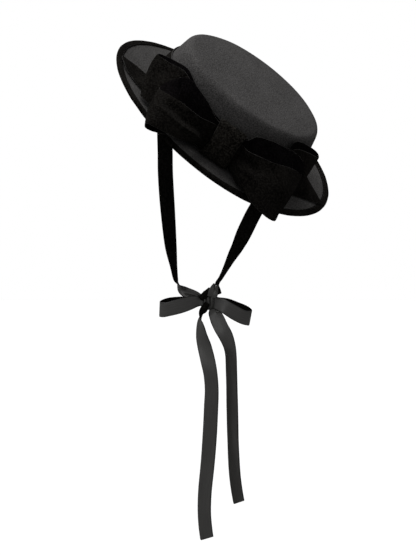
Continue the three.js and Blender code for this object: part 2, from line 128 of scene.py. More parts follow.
def raise_rings(name: str, profile: list[tuple[float, float]], sides: int) -> bpy.types.Object:
    """Models a round wall: a circle extruded from ring to ring along a profile.

    Args:
        name: Name of the piece.
        profile: (radius, height) of each ring; a last radius of 0 closes the wall at a pole.
        sides: Number of sides round the axis.

    Returns:
        The piece in object mode, with outward normals.
    """
    clear_selection()
    radius, height = profile[0]
    bpy.ops.mesh.primitive_circle_add(vertices=sides, radius=radius, location=(0, 0, height))
    piece = bpy.context.object
    piece.name = name
    settle(piece)
    bpy.ops.object.mode_set(mode="EDIT")
    bpy.ops.mesh.select_all(action="SELECT")
    for (r0, z0), (r1, z1) in zip(profile, profile[1:]):
        rise = {"value": (0, 0, z1 - z0)}
        bpy.ops.mesh.extrude_region_move(TRANSFORM_OT_translate=rise)
        if r1 <= 0:
            bpy.ops.mesh.merge(type="CENTER")
        else:
            factor = r1 / r0
            bpy.ops.transform.resize(value=(factor, factor, 1), center_override=(0, 0, 0))
    bpy.ops.mesh.select_all(action="SELECT")
    bpy.ops.mesh.remove_doubles(threshold=1e-6)
    bpy.ops.mesh.normals_make_consistent(inside=False)
    bpy.ops.object.mode_set(mode="OBJECT")
    return piece


def lay_cloth(name: str, grid: Grid, closed: bool = False) -> bpy.types.Object:
    """Lays a flat grid of cloth over a shape, with UVs in metres along and across the cloth.

    Args:
        name: Name of the piece.
        grid: Points, one row per step along the cloth and one column per step across it.
        closed: Joins the last row to the first.

    Returns:
        The piece in object mode, one cloth layer with no thickness.
    """
    steps, width = grid.shape[0] - 1, grid.shape[1] - 1
    clear_selection()
    bpy.ops.mesh.primitive_grid_add(x_subdivisions=width, y_subdivisions=steps, size=2)
    piece = bpy.context.object
    piece.name = name
    mesh = piece.data
    flat = np.zeros(len(mesh.vertices) * 3)
    mesh.vertices.foreach_get("co", flat)
    flat = flat.reshape(-1, 3)
    column = np.rint((flat[:, 0] + 1) / 2 * width).astype(int)
    row = np.rint((flat[:, 1] + 1) / 2 * steps).astype(int)
    mesh.vertices.foreach_set("co", grid[row, column].astype(np.float32).ravel())

    middle = grid[:, width // 2]
    along = np.concatenate(([0], np.cumsum(np.linalg.norm(np.diff(middle, axis=0), axis=1))))
    across = np.linalg.norm(np.diff(grid, axis=1), axis=2).mean(axis=0)
    across = np.concatenate(([0], np.cumsum(across)))
    cloth_map = mesh.uv_layers.active
    for corner in mesh.loops:
        vertex = corner.vertex_index
        cloth_map.data[corner.index].uv = (along[row[vertex]], across[column[vertex]])
    mesh.update()
    if closed:
        hold(piece)
        bpy.ops.object.mode_set(mode="EDIT")
        bpy.ops.mesh.select_all(action="SELECT")
        bpy.ops.mesh.remove_doubles(threshold=1e-6)
        bpy.ops.object.mode_set(mode="OBJECT")
    return piece


def copies_joined(name: str, model: bpy.types.Object, places: list[Matrix]) -> bpy.types.Object:
    """Copies a small piece to many places, each with its own mesh, and joins them into one.

    Args:
        name: Name of the joined piece.
        model: The small piece at the origin; it is used up.
        places: Where each copy goes.

    Returns:
        The joined piece.
    """
    clear_selection()
    parts = []
    for place in places:
        part = model.copy()
        part.data = model.data.copy()
        part.data.transform(place)
        bpy.context.collection.objects.link(part)
        parts.append(part)
    bpy.data.objects.remove(model)
    for part in parts:
        part.select_set(True)
    bpy.context.view_layer.objects.active = parts[0]
    bpy.ops.object.join()
    parts[0].name = name
    return parts[0]


# ----------------------------------------------------------------------------------------------
# Curves and sections of ribbon
# ----------------------------------------------------------------------------------------------


def curve_through(points: np.ndarray, shares: np.ndarray) -> np.ndarray:
    """Smooth curve through points, paced by their distances so that it never overshoots.

    Args:
        points: One row per point.
        shares: Where to read the curve, 0 at the first point and 1 at the last.

    Returns:
        One row per share.
    """
    ends = (2 * points[0] - points[1], 2 * points[-1] - points[-2])
    padded = np.vstack((ends[0], points, ends[1]))
    result = []
    for share in shares:
        x = share * (len(points) - 1)
        i = min(int(x), len(points) - 2)
        a, b, c, d = padded[i : i + 4]
        w = x - i
        gaps = [max(np.linalg.norm(q - p) ** 0.5, 1e-4) for p, q in ((a, b), (b, c), (c, d))]
        leave = ((b - a) / gaps[0] - (c - a) / (gaps[0] + gaps[1]) + (c - b) / gaps[1]) * gaps[1]
        meet = ((c - b) / gaps[1] - (d - b) / (gaps[1] + gaps[2]) + (d - c) / gaps[2]) * gaps[1]
        result.append(
            b
            + leave * w
            + (3 * (c - b) - 2 * leave - meet) * w**2
            + (2 * (b - c) + leave + meet) * w**3
        )
    return np.array(result)


def ease(values: np.ndarray, shares: np.ndarray) -> np.ndarray:
    """Reads a list of values along a piece, easing from each to the next."""
    x = shares * (len(values) - 1)
    i = np.minimum(x.astype(int), len(values) - 2)
    w = x - i
    w = w * w * (3 - 2 * w)
    return values[i] * (1 - w) + values[i + 1] * w


def unit(vectors: np.ndarray) -> np.ndarray:
    """Vectors at length 1, one per row."""
    return vectors / np.maximum(np.linalg.norm(vectors, axis=-1, keepdims=True), 1e-12)


def ripple(point: np.ndarray, size: float, seed: float) -> float:
    """Soft irregular wave from -1 to 1 with the given size in metres, the same on each run."""
    return noise.noise(Vector(point) / size + Vector((seed, 2 * seed, -seed)))


@dataclass(frozen=True)
class Crease:
    """A ridge (or, with a negative height, a valley) pressed along a ribbon.

    start and end say where along the piece it runs, from 0 to 1; near and far say where across
    it lies at those ends, 0 at the upper edge and 1 at the hem.
    """

    start: float
    end: float
    near: float
    far: float
    height: float
    spread: float = 0.12
    bow: float = 0.0

    def lift(self, along: float, across: np.ndarray) -> np.ndarray:
        """How far the cloth is pushed out, in metres, at a place along and places across."""
        share = (along - self.start) / (self.end - self.start)
        if not 0 < share < 1:
            return np.zeros_like(across)
        centre = self.near + (self.far - self.near) * share
        centre += self.bow * math.sin(math.pi * share)
        fade = min(1.0, 4 * share, 4 * (1 - share))
        fade = fade * fade * (3 - 2 * fade)
        return self.height * fade * np.exp(-(((across - centre) / self.spread) ** 2))


# ----------------------------------------------------------------------------------------------
# Finishes
# ----------------------------------------------------------------------------------------------


class Slot(Enum):
    """Material slots of the record."""

    FELT = "felt"
    VELVET = "velvet"
    RIBBON_FACE = "ribbon_face"
    RIBBON_BACK = "ribbon_back"


class Held(Enum):
    """How a cut of cloth is kept in shape."""

    FOLDED = "folded"
    HUNG = "hung"
    LAID = "laid"
    STRETCHED = "stretched"


class NodeBench:
    """Adds and joins the nodes of one tree."""

    def __init__(self, tree: bpy.types.NodeTree, keep: bool = False) -> None:
        """Starts with an empty tree, or with the nodes it has already."""
        self.tree = tree
        if not keep:
            tree.nodes.clear()

    def add(self, kind: str, **settings: object) -> bpy.types.Node:
        """Adds a node.

        Args:
            kind: The node's type name without its ShaderNode prefix.
            settings: Properties, or values and sources of inputs named with underscores.

        Returns:
            The node.
        """
        prefix = "" if kind.startswith(("Node", "Shader")) else "ShaderNode"
        node = self.tree.nodes.new(prefix + kind)
        for key, value in settings.items():
            if hasattr(node, key):
                setattr(node, key, value)
                continue
            name = key.replace("_", " ")
            socket = node.inputs[int(name[2:])] if name.startswith("in") else node.inputs[name]
            if isinstance(value, bpy.types.NodeSocket):
                self.tree.links.new(value, socket)
            else:
                socket.default_value = value
        return node

    def math(self, operation: str, *values: object) -> bpy.types.NodeSocket:
        """Adds a Math node on numbers or sockets and gives its result."""
        node = self.add("Math", operation=operation)
        for socket, value in zip(node.inputs, values):
            if isinstance(value, bpy.types.NodeSocket):
                self.tree.links.new(value, socket)
            else:
                socket.default_value = value
        return node.outputs[0]

    def speckle(
        self, vector: bpy.types.NodeSocket, scale: object, detail: float = 2.0
    ) -> bpy.types.NodeSocket:
        """Adds a noise texture and gives its value."""
        node = self.add("TexNoise", Vector=vector, Scale=scale, Detail=detail)
        return node.outputs[0]

    def remap(
        self, value: bpy.types.NodeSocket, low: float, high: float, to_low: float, to_high: float
    ) -> bpy.types.NodeSocket:
        """Maps a range of values to another, held at its ends."""
        node = self.add("MapRange", Value=value, From_Min=low, From_Max=high)
        node.inputs["To Min"].default_value = to_low
        node.inputs["To Max"].default_value = to_high
        return node.outputs[0]

    def blend(
        self, share: bpy.types.NodeSocket, low: object, high: object
    ) -> bpy.types.NodeSocket:
        """Mixes two colours by a share."""
        node = self.add("Mix", data_type="RGBA")
        self.tree.links.new(share, node.inputs["Factor"])
        for socket, colour in ((node.inputs[6], low), (node.inputs[7], high)):
            if isinstance(colour, bpy.types.NodeSocket):
                self.tree.links.new(colour, socket)
            else:
                socket.default_value = (*colour, 1.0)
        return node.outputs[2]


def new_group(name: str, inputs: dict[str, str], outputs: dict[str, str]) -> NodeBench:
    """Makes an empty shader group with its sockets.

    Args:
        name: Name of the group.
        inputs: Socket kind by input name.
        outputs: Socket kind by output name.

    Returns:
        A bench on the group, with its two ends in it.
    """
    group = bpy.data.node_groups.new(name, "ShaderNodeTree")
    for sockets, way in ((inputs, "INPUT"), (outputs, "OUTPUT")):
        for label, kind in sockets.items():
            group.interface.new_socket(label, in_out=way, socket_type="NodeSocket" + kind)
    bench = NodeBench(group)
    bench.add("NodeGroupInput")
    bench.add("NodeGroupOutput")
    return bench


class Effects:
    """Shader groups that the finishes share."""

    def __init__(self) -> None:
        """Builds each group once."""
        self.pile = self._pile()
        self.fibres = self._fibres()
        self.ribs = self._ribs()
        self.selvedge = self._selvedge()

    @staticmethod
    def _ends(bench: NodeBench) -> tuple[bpy.types.NodeOutputs, bpy.types.NodeInputs]:
        """The group's own inputs and outputs, as sockets to join to."""
        return bench.tree.nodes["Group Input"].outputs, bench.tree.nodes["Group Output"].inputs

    def _pile(self) -> bpy.types.NodeTree:
        """Velvet pile: fine tufts, clumps of them, and broad patches brushed the other way."""
        bench = new_group(
            "velvet pile",
            {"Vector": "Vector", "Tuft Scale": "Float", "Brushed Scale": "Float"},
            {"Shade": "Float", "Height": "Float"},
        )
        given, result = self._ends(bench)
        tuft = bench.speckle(given["Vector"], given["Tuft Scale"], 3.0)
        clump_scale = bench.math("MULTIPLY", given["Tuft Scale"], 0.26)
        clump = bench.speckle(given["Vector"], clump_scale, 2.0)
        brushed = bench.speckle(given["Vector"], given["Brushed Scale"], 3.0)
        patch = bench.remap(brushed, 0.38, 0.66, 0.0, 1.0)
        fine = bench.remap(clump, 0.42, 0.66, 0.0, 1.0)
        shade = bench.math("ADD", bench.math("MULTIPLY", patch, 0.3), bench.math("MULTIPLY", fine, 0.7))
        height = bench.math("ADD", tuft, bench.math("MULTIPLY", clump, 0.8))
        bench.tree.links.new(shade, result["Shade"])
        bench.tree.links.new(height, result["Height"])
        return bench.tree

    def _fibres(self) -> bpy.types.NodeTree:
        """Pressed felt: fine fibres, specks of lighter ones, and a faint cloudiness."""
        bench = new_group(
            "pressed fibres",
            {"Vector": "Vector", "Fibre Scale": "Float", "Cloud Scale": "Float"},
            {"Shade": "Float", "Height": "Float"},
        )
        given, result = self._ends(bench)
        fibre = bench.speckle(given["Vector"], given["Fibre Scale"], 4.0)
        speck_scale = bench.math("MULTIPLY", given["Fibre Scale"], 0.55)
        cells = bench.add("TexVoronoi", Vector=given["Vector"], Scale=speck_scale, Randomness=1.0)
        speck = bench.remap(cells.outputs["Distance"], 0.1, 0.62, 1.0, 0.0)
        cloud = bench.speckle(given["Vector"], given["Cloud Scale"], 3.0)
        parts = (
            bench.math("MULTIPLY", bench.remap(fibre, 0.4, 0.6, 0.0, 1.0), 0.55),
            bench.math("MULTIPLY", speck, 0.3),
            bench.math("MULTIPLY", bench.remap(cloud, 0.3, 0.7, 0.0, 1.0), 0.15),
        )
        shade = bench.math("ADD", bench.math("ADD", parts[0], parts[1]), parts[2])
        bench.tree.links.new(shade, result["Shade"])
        bench.tree.links.new(bench.math("ADD", fibre, speck), result["Height"])
        return bench.tree

    def _ribs(self) -> bpy.types.NodeTree:
        """Fine cross ribs of a woven ribbon, with slubs that run along it."""
        bench = new_group(
            "cross ribs",
            {"Vector": "Vector", "Pitch": "Float"},
            {"Shade": "Float", "Height": "Float"},
        )
        given, result = self._ends(bench)
        parts = bench.add("SeparateXYZ", Vector=given["Vector"])
        along, across = parts.outputs[0], parts.outputs[1]
        angle = bench.math("DIVIDE", bench.math("MULTIPLY", along, math.tau), given["Pitch"])
        rib = bench.math("MULTIPLY_ADD", bench.math("SINE", angle), 0.5, 0.5)
        warp = bench.math("MULTIPLY", across, 5200.0)
        threads = bench.math("MULTIPLY_ADD", bench.math("SINE", warp), 0.5, 0.5)
        streak_place = bench.add("CombineXYZ", in_0=bench.math("MULTIPLY", along, 60.0))
        bench.tree.links.new(bench.math("MULTIPLY", across, 1400.0), streak_place.inputs[1])
        streak = bench.speckle(streak_place.outputs[0], 1.0, 2.0)
        slub = bench.remap(streak, 0.3, 0.7, 0.0, 1.0)
        shade = bench.math("MULTIPLY_ADD", rib, 0.25, bench.math("MULTIPLY", slub, 0.75))
        height = bench.math("MULTIPLY_ADD", rib, 0.7, bench.math("MULTIPLY", threads, 0.3))
        bench.tree.links.new(shade, result["Shade"])
        bench.tree.links.new(height, result["Height"])
        return bench.tree

    def _selvedge(self) -> bpy.types.NodeTree:
        """Mask of a ribbon's two woven edges, 1 on the edge and 0 on the cloth."""
        bench = new_group(
            "woven edge",
            {"Vector": "Vector", "Ribbon Width": "Float", "Edge Width": "Float"},
            {"Mask": "Float"},
        )
        given, result = self._ends(bench)
        across = bench.add("SeparateXYZ", Vector=given["Vector"]).outputs[1]
        other = bench.math("SUBTRACT", given["Ribbon Width"], across)
        nearest = bench.math("MINIMUM", across, other)
        share = bench.math("DIVIDE", nearest, given["Edge Width"])
        bench.tree.links.new(bench.remap(share, 0.7, 1.15, 1.0, 0.0), result["Mask"])
        return bench.tree


Colour = tuple[float, float, float]


@dataclass(frozen=True)
class Finish:
    """What every cloth finish has: two tones, gloss and the depth of its relief."""

    name: str
    dark: Colour
    light: Colour
    rough: float = 0.95
    gloss: float = 0.05
    relief: float = 0.3
    depth: float = 0.0003
    nap: float = 0.0
    nap_tone: Colour = (0.5, 0.5, 0.5)
    nap_rough: float = 0.5

    def bench(self) -> tuple[bpy.types.Material, NodeBench, bpy.types.Node]:
        """Starts the material.

        Returns:
            The material, a bench on its tree, and its Principled shader joined to the output.
        """
        material = bpy.data.materials.new(self.name)
        material.use_nodes = True
        bench = NodeBench(material.node_tree)
        shader = bench.add("BsdfPrincipled")
        output = bench.add("OutputMaterial")
        bench.tree.links.new(shader.outputs[0], output.inputs[0])
        shader.inputs["Specular IOR Level"].default_value = self.gloss
        shader.inputs["Sheen Weight"].default_value = self.nap
        shader.inputs["Sheen Roughness"].default_value = self.nap_rough
        shader.inputs["Sheen Tint"].default_value = (*self.nap_tone, 1.0)
        return material, bench, shader

    def group(
        self, bench: NodeBench, tree: bpy.types.NodeTree, place: bpy.types.NodeSocket, **sizes: float
    ) -> bpy.types.Node:
        """Puts a shared effect in the material with its own sizes."""
        node = bench.add("ShaderNodeGroup")
        node.node_tree = tree
        bench.tree.links.new(place, node.inputs["Vector"])
        for key, value in sizes.items():
            node.inputs[key.replace("_", " ")].default_value = value
        return node

    def dress(
        self,
        bench: NodeBench,
        shader: bpy.types.Node,
        colour: bpy.types.NodeSocket,
        shade: bpy.types.NodeSocket,
        height: bpy.types.NodeSocket,
    ) -> None:
        """Joins colour, roughness and relief to the shader."""
        bench.tree.links.new(colour, shader.inputs["Base Color"])
        rough = bench.remap(shade, 0.0, 1.0, self.rough, max(0.0, self.rough - 0.12))
        bench.tree.links.new(rough, shader.inputs["Roughness"])
        bump = bench.add("Bump", Strength=self.relief, Distance=self.depth, Height=height)
        bench.tree.links.new(bump.outputs[0], shader.inputs["Normal"])


@dataclass(frozen=True)
class FeltFinish(Finish):
    """Matt pressed felt with fine lighter fibres."""

    fibre_scale: float = 1050.0
    cloud_scale: float = 45.0

    def make(self, effects: Effects) -> bpy.types.Material:
        """Builds the material from the shared effects."""
        material, bench, shader = self.bench()
        place = bench.add("TexCoord").outputs["Object"]
        fibres = self.group(
            bench, effects.fibres, place, Fibre_Scale=self.fibre_scale, Cloud_Scale=self.cloud_scale
        )
        shade, height = fibres.outputs
        self.dress(bench, shader, bench.blend(shade, self.dark, self.light), shade, height)
        return material


@dataclass(frozen=True)
class VelvetFinish(Finish):
    """Black velvet: nearly no diffuse light, a soft nap at the edges and brushed patches."""

    tuft_scale: float = 2600.0
    brushed_scale: float = 42.0

    def make(self, effects: Effects) -> bpy.types.Material:
        """Builds the material from the shared effects."""
        material, bench, shader = self.bench()
        place = bench.add("TexCoord").outputs["Object"]
        pile = self.group(
            bench, effects.pile, place, Tuft_Scale=self.tuft_scale, Brushed_Scale=self.brushed_scale
        )
        shade, height = pile.outputs
        self.dress(bench, shader, bench.blend(shade, self.dark, self.light), shade, height)
        return material


@dataclass(frozen=True)
class SatinFinish(Finish):
    """Satin back of a velvet ribbon: fine cross ribs, soft streaks and darker woven edges."""

    pitch: float = 0.0006
    width: float = 0.014
    edge_width: float = 0.0011
    edge: Colour = (0.006, 0.006, 0.006)

    def make(self, effects: Effects) -> bpy.types.Material:
        """Builds the material from the shared effects."""
        material, bench, shader = self.bench()
        place = bench.add("UVMap").outputs[0]
        ribs = self.group(bench, effects.ribs, place, Pitch=self.pitch)
        shade, height = ribs.outputs
        edges = self.group(
            bench, effects.selvedge, place, Ribbon_Width=self.width, Edge_Width=self.edge_width
        )
        cloth = bench.blend(shade, self.dark, self.light)
        self.dress(bench, shader, bench.blend(edges.outputs[0], cloth, self.edge), shade, height)
        return material


@dataclass(frozen=True)
class ThreadFinish(Finish):
    """Black sewing thread, twisted from two plies."""

    twist_scale: float = 5200.0

    def make(self, effects: Effects) -> bpy.types.Material:
        """Builds the material from the shared effects."""
        material, bench, shader = self.bench()
        place = bench.add("TexCoord").outputs["Object"]
        fibres = self.group(
            bench, effects.fibres, place, Fibre_Scale=self.twist_scale, Cloud_Scale=200.0
        )
        shade, height = fibres.outputs
        self.dress(bench, shader, bench.blend(shade, self.dark, self.light), shade, height)
        return material


class Wardrobe:
    """All the finishes, made once each."""

    def __init__(self) -> None:
        """Makes the materials."""
        effects = Effects()
        nap = {"nap_tone": (0.55, 0.53, 0.52)}
        self.crown_felt = FeltFinish(
            "charcoal felt", (0.032, 0.031, 0.0305), (0.117, 0.113, 0.112), gloss=0.02
        ).make(effects)
        self.brim_felt = FeltFinish(
            "charcoal brim felt", (0.032, 0.031, 0.0305), (0.117, 0.113, 0.111), gloss=0.02
        ).make(effects)
        self.velvet = VelvetFinish(
            "black velvet", (0.0021, 0.0018, 0.0016), (0.0172, 0.0158, 0.0142), 1.0, 0.0,
            relief=0.6, depth=0.0006, nap=0.02, nap_rough=0.45, **nap
        ).make(effects)
        # Darker copy of the velvet for the loops' inner faces: painted shade inside the loops.
        self.velvet_painted_shade = VelvetFinish(
            "velvet with painted shade inside the loops", (0.0010, 0.0008, 0.0010), (0.0068, 0.0058, 0.0062), 1.0, 0.0,
            relief=0.6, depth=0.0006, nap=0.01, nap_rough=0.45, **nap
        ).make(effects)
        # Lighter copy of the velvet for the knot's belt: painted sheen on the gathered pile.
        self.velvet_painted_sheen = VelvetFinish(
            "gathered velvet", (0.0028, 0.0024, 0.0020), (0.0385, 0.0355, 0.0310), 1.0, 0.0,
            relief=0.7, depth=0.0008, nap=0.03, nap_rough=0.45, **nap
        ).make(effects)
        # The velvet ribbons' woven edges, lighter than the pile, with their tone raised further as a
        # painted highlight along the edges.
        self.velvet_edge_and_highlight = VelvetFinish(
            "velvet ribbon edge", (0.010, 0.0093, 0.009), (0.050, 0.047, 0.045), 0.8, 0.1,
            relief=0.5, nap=0.06, **nap
        ).make(effects)
        self.ribbon_velvet = VelvetFinish(
            "narrow velvet ribbon", (0.0018, 0.0016, 0.0014), (0.0150, 0.0136, 0.0124), 1.0, 0.0,
            relief=0.5, nap=0.04, nap_rough=0.45, **nap
        ).make(effects)
        self.satin = SatinFinish(
            "grey satin back", (0.032, 0.0308, 0.0290), (0.068, 0.0655, 0.0615), 0.36, 0.9,
            relief=0.25, depth=0.0001, nap=0.02, **nap
        ).make(effects)
        self.ribbon_edge = SatinFinish(
            "dark ribbon edge", (0.005, 0.005, 0.005), (0.012, 0.012, 0.012), 0.8, 0.1
        ).make(effects)
        self.thread = ThreadFinish(
            "black thread", (0.004, 0.004, 0.004), (0.016, 0.016, 0.016), 0.6, 0.3
        ).make(effects)


# ----------------------------------------------------------------------------------------------
# Fitting a finished piece to the frame
# ----------------------------------------------------------------------------------------------


def fit(piece: bpy.types.Object, slot: Slot, *nodes: str) -> bpy.types.Object:
    """Makes a piece ride on the hat in place of CAD nodes, which it hides."""
    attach(piece, "root")
    if nodes:
        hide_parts(*nodes)
    LOG.info("%s: %d faces", piece.name, len(piece.data.polygons))
    return piece


def wear(piece: bpy.types.Object, *materials: bpy.types.Material) -> None:
    """Gives a piece its materials in order: face, back and rim."""
    piece.data.materials.clear()
    for material in materials:
        piece.data.materials.append(material)


@dataclass(frozen=True)
class HatShape:
    """Sizes and tilt that every piece sewn to the hat shares."""

    nod: float = 25.0
    lean: float = 39.0
    base_radius: float = 0.086
    taper: float = 12.2
    crown_height: float = 0.052
    rim_radius: float = 0.121
    brim_thickness: float = 0.0014
    wave_cos: float = 0.0009
    wave_sin: float = 0.0018
    bow_turn: float = 9.0
    gap: float = 0.00035

    @property
    def foot(self) -> float:
        """Height at which the crown meets the brim's top."""
        return self.brim_thickness / 2 + self.gap

    def tilt(self) -> Matrix:
        """The turn from upright to as worn."""
        nod = Matrix.Rotation(math.radians(self.nod), 4, "X")
        return Matrix.Rotation(math.radians(self.lean), 4, "Y") @ nod

    def crown_radius(self, height: float) -> float:
        """Outside radius of the crown's side at a height."""
        return self.base_radius - height * math.tan(math.radians(self.taper))

    def wave(self, x: float, y: float) -> float:
        """The brim's gentle wave, from nothing at the crown to its full height at the rim."""
        reach = math.hypot(x, y) - self.base_radius
        share = min(max(reach / (self.rim_radius - self.base_radius), 0.0), 1.2)
        angle = 2 * math.atan2(y, x)
        return share**2 * (self.wave_cos * math.cos(angle) + self.wave_sin * math.sin(angle))

    def bow_place(self, turn: float, out: float, up: float) -> Vector:
        """Place given in the bow's terms: turn from the knot in degrees, out and up in mm."""
        angle = math.radians(turn + self.bow_turn)
        x, y = out * MM * math.sin(angle), -out * MM * math.cos(angle)
        return Vector((x, y, up * MM + self.wave(x, y)))

    def follow_brim(self, piece: bpy.types.Object) -> None:
        """Gives a flat round piece the brim's wave."""
        for vertex in piece.data.vertices:
            vertex.co.z += self.wave(vertex.co.x, vertex.co.y)

    def put_on(self, piece: bpy.types.Object) -> None:
        """Tilts an upright piece into its worn place."""
        piece.matrix_world = self.tilt()
        settle(piece)


def uneven(piece: bpy.types.Object, amount: float, size: float, seed: float) -> None:
    """Presses a soft handmade unevenness into a surface along its normals."""
    normals = [vertex.normal.copy() for vertex in piece.data.vertices]
    for vertex, normal in zip(piece.data.vertices, normals):
        vertex.co += normal * amount * ripple(np.array(vertex.co), size, seed)


def make_up(
    piece: bpy.types.Object,
    thickness: float,
    sharp: float,
    shape: HatShape | None = None,
    offset: float = 0.0,
) -> None:
    """Turns a laid surface into finished cloth.

    Args:
        piece: The surface, with its materials.
        thickness: Thickness of the cloth in metres.
        sharp: Angle in degrees beyond which an edge stays crisp.
        shape: The hat's shape, for a piece that is sewn to the hat and tilts with it.
        offset: Where the thickness lies, as in thicken.
    """
    thicken(piece, thickness, offset)
    round_off(piece)
    apply_all(piece)
    if shape:
        shape.put_on(piece)
    soften(piece, sharp)


# ----------------------------------------------------------------------------------------------
# Crown and brim
# ----------------------------------------------------------------------------------------------


@dataclass(frozen=True)
class Crown:
    """Flat-topped felt crown, open below for the head."""

    shape: HatShape
    wall: float = 0.002
    edge_radius: float = 0.007
    dome: float = 0.0025
    seam: float = 0.00001
    sides: int = 96

    @property
    def foot(self) -> float:
        """Height of the sewn edge, a hair above the brim."""
        return self.shape.brim_thickness / 2 + self.seam

    def _profile(self) -> list[tuple[float, float]]:
        """Rings from the foot, up the side, over the rounded edge and across the top."""
        shape = self.shape
        bend = shape.crown_height - self.edge_radius
        centre = shape.crown_radius(bend) - self.edge_radius / math.cos(math.radians(shape.taper))
        shares = (0, 0.02, 0.2, 0.4, 0.6, 0.8, 0.95)
        heights = [self.foot + (bend - self.foot) * share for share in shares]
        rings = [(shape.crown_radius(height), height) for height in heights]
        for degrees in (12, 28, 44, 60, 75, 90):
            angle = math.radians(degrees)
            rings.append(
                (centre + self.edge_radius * math.cos(angle), bend + self.edge_radius * math.sin(angle))
            )
        for share in (0.9, 0.75, 0.6, 0.45, 0.3, 0.16, 0.05):
            rise = self.dome * (1 - share**2)
            rings.append((centre * share, shape.crown_height + rise))
        rings.append((0.0, shape.crown_height + self.dome))
        return rings

    def build(self, cloth: Wardrobe) -> bpy.types.Object:
        """Models and dresses the crown."""
        piece = raise_rings("crown_shell", self._profile(), self.sides)
        uneven(piece, amount=0.00035, size=0.03, seed=1.7)
        wear(piece, cloth.crown_felt, cloth.crown_felt, cloth.crown_felt)
        thicken(piece, self.wall, -1)
        round_off(piece)
        apply_all(piece)
        for vertex in piece.data.vertices:
            vertex.co.z = max(vertex.co.z, self.foot)
        self.shape.put_on(piece)
        soften(piece, 60)
        return fit(piece, Slot.FELT, "crown")


@dataclass(frozen=True)
class Brim:
    """Flat felt brim with a gentle wave."""

    shape: HatShape
    inner_radius: float = 0.084
    unevenness: float = 0.00015
    sides: int = 120

    def build(self, cloth: Wardrobe) -> bpy.types.Object:
        """Models and dresses the brim."""
        shape = self.shape
        reach = shape.rim_radius - self.inner_radius
        shares = (0.0, 0.01, *np.linspace(0.1, 1, 10))
        rings = [(self.inner_radius + reach * share, 0.0) for share in shares]
        piece = raise_rings("brim_plate", rings, self.sides)
        for vertex in piece.data.vertices:
            share = (math.hypot(vertex.co.x, vertex.co.y) - self.inner_radius) / reach
            lift = ripple(np.array(vertex.co), 0.025, 4.1)
            vertex.co.z += self.unevenness * share**2 * lift
        shape.follow_brim(piece)
        wear(piece, cloth.brim_felt, cloth.brim_felt, cloth.brim_felt)
        make_up(piece, shape.brim_thickness, 60, shape)
        return fit(piece, Slot.FELT, "brim")


@dataclass(frozen=True)
class RimBinding:
    """Velvet folded round the brim's edge and stitched down on both sides."""

    shape: HatShape
    outer_radius: float = 0.1229
    width: float = 0.007
    thickness: float = 0.004
    wall: float = 0.0009
    gather_depth: float = 0.00022
    gather_reach: float = 0.0035
    seam_inset: float = 0.0011
    clearance: float = 0.006
    sides: int = 180
    stitches: int = 150

    def _profile(self) -> list[tuple[float, float]]:
        """Rings from the upper lip, over the rim and under to the lower lip."""
        half = self.thickness / 2
        lip = self.outer_radius - self.width
        over = [(lip, half * 0.62), (lip + 0.0004, half * 0.82), (lip + self.width * 0.3, half)]
        over.append((lip + self.width * 0.55, half))
        bend = [
            (self.outer_radius - half + half * math.cos(a), half * math.sin(a))
            for a in np.radians(np.linspace(90, -90, 9))
        ]
        under = [(radius, -height) for radius, height in reversed(over)]
        return over + bend + under

    def build(self, cloth: Wardrobe) -> bpy.types.Object:
        """Models and dresses the binding."""
        piece = raise_rings("rim_binding", self._profile(), self.sides)
        for vertex in piece.data.vertices:
            x, y, z = vertex.co
            angle = math.atan2(y, x)
            from_lip = math.hypot(x, y) - (self.outer_radius - self.width)
            lip = max(0.0, 1 - from_lip / self.gather_reach)
            gather = 0.5 + 0.5 * math.cos(angle * self.stitches)
            vertex.co.z -= math.copysign(self.gather_depth * lip * gather, z)
        uneven(piece, amount=0.00025, size=0.012, seed=8.3)
        self.shape.follow_brim(piece)
        wear(piece, cloth.velvet, cloth.velvet, cloth.velvet_edge_and_highlight)
        make_up(piece, self.wall, 60, self.shape, offset=-1)
        fit(piece, Slot.VELVET, "brim_binding")
        return piece

    def sew(self, binding: bpy.types.Object, cloth: Wardrobe) -> bpy.types.Object:
        """Runs the stitches along both lips, each one seated on the velvet.

        Args:
            binding: The finished binding, as worn.
            cloth: The materials.

        Returns:
            All the stitches as one piece.
        """
        radius = self.outer_radius - self.width + self.seam_inset
        tilt = self.shape.tilt()
        turn_only = tilt.to_3x3()
        places = []
        for side in (1, -1):
            for i in range(self.stitches):
                angle = math.tau * (i + 0.5) / self.stitches
                x, y = radius * math.cos(angle), radius * math.sin(angle)
                start = tilt @ Vector((x, y, side * self.clearance))
                found, spot, up, _ = binding.ray_cast(start, turn_only @ Vector((0, 0, -side)))
                if not found:
                    continue
                run = turn_only @ Vector((-math.sin(angle), math.cos(angle), 0))
                across = run.cross(up).normalized()
                turn = Matrix((across, up.cross(across), up)).transposed()
                places.append(Matrix.Translation(spot) @ turn.to_4x4())
        stitch = Stitch(length=0.0024, radius=0.00018).build()
        piece = copies_joined("binding_stitches", stitch, places)
        wear(piece, cloth.thread)
        soften(piece, 80)
        return fit(piece, Slot.VELVET)


@dataclass(frozen=True)
class Stitch:
    """One stitch of thread lying along Y, its ends dipping into the cloth."""

    length: float
    radius: float
    dip: float = 1.6

    def build(self) -> bpy.types.Object:
        """Models a stitch at the origin."""
        clear_selection()
        bpy.ops.mesh.primitive_cylinder_add(vertices=6, radius=self.radius, depth=self.length)
        piece = bpy.context.object
        piece.rotation_euler = (math.radians(90), 0, 0)
        settle(piece)
        bpy.ops.object.mode_set(mode="EDIT")
        for quarter in (self.length / 4, -self.length / 4):
            bpy.ops.mesh.select_all(action="SELECT")
            bpy.ops.mesh.bisect(plane_co=(0, quarter, 0), plane_no=(0, 1, 0))
        bpy.ops.object.mode_set(mode="OBJECT")
        for vertex in piece.data.vertices:
            share = abs(vertex.co.y) / (self.length / 2)
            vertex.co.z -= self.radius * self.dip * share**2
        return piece


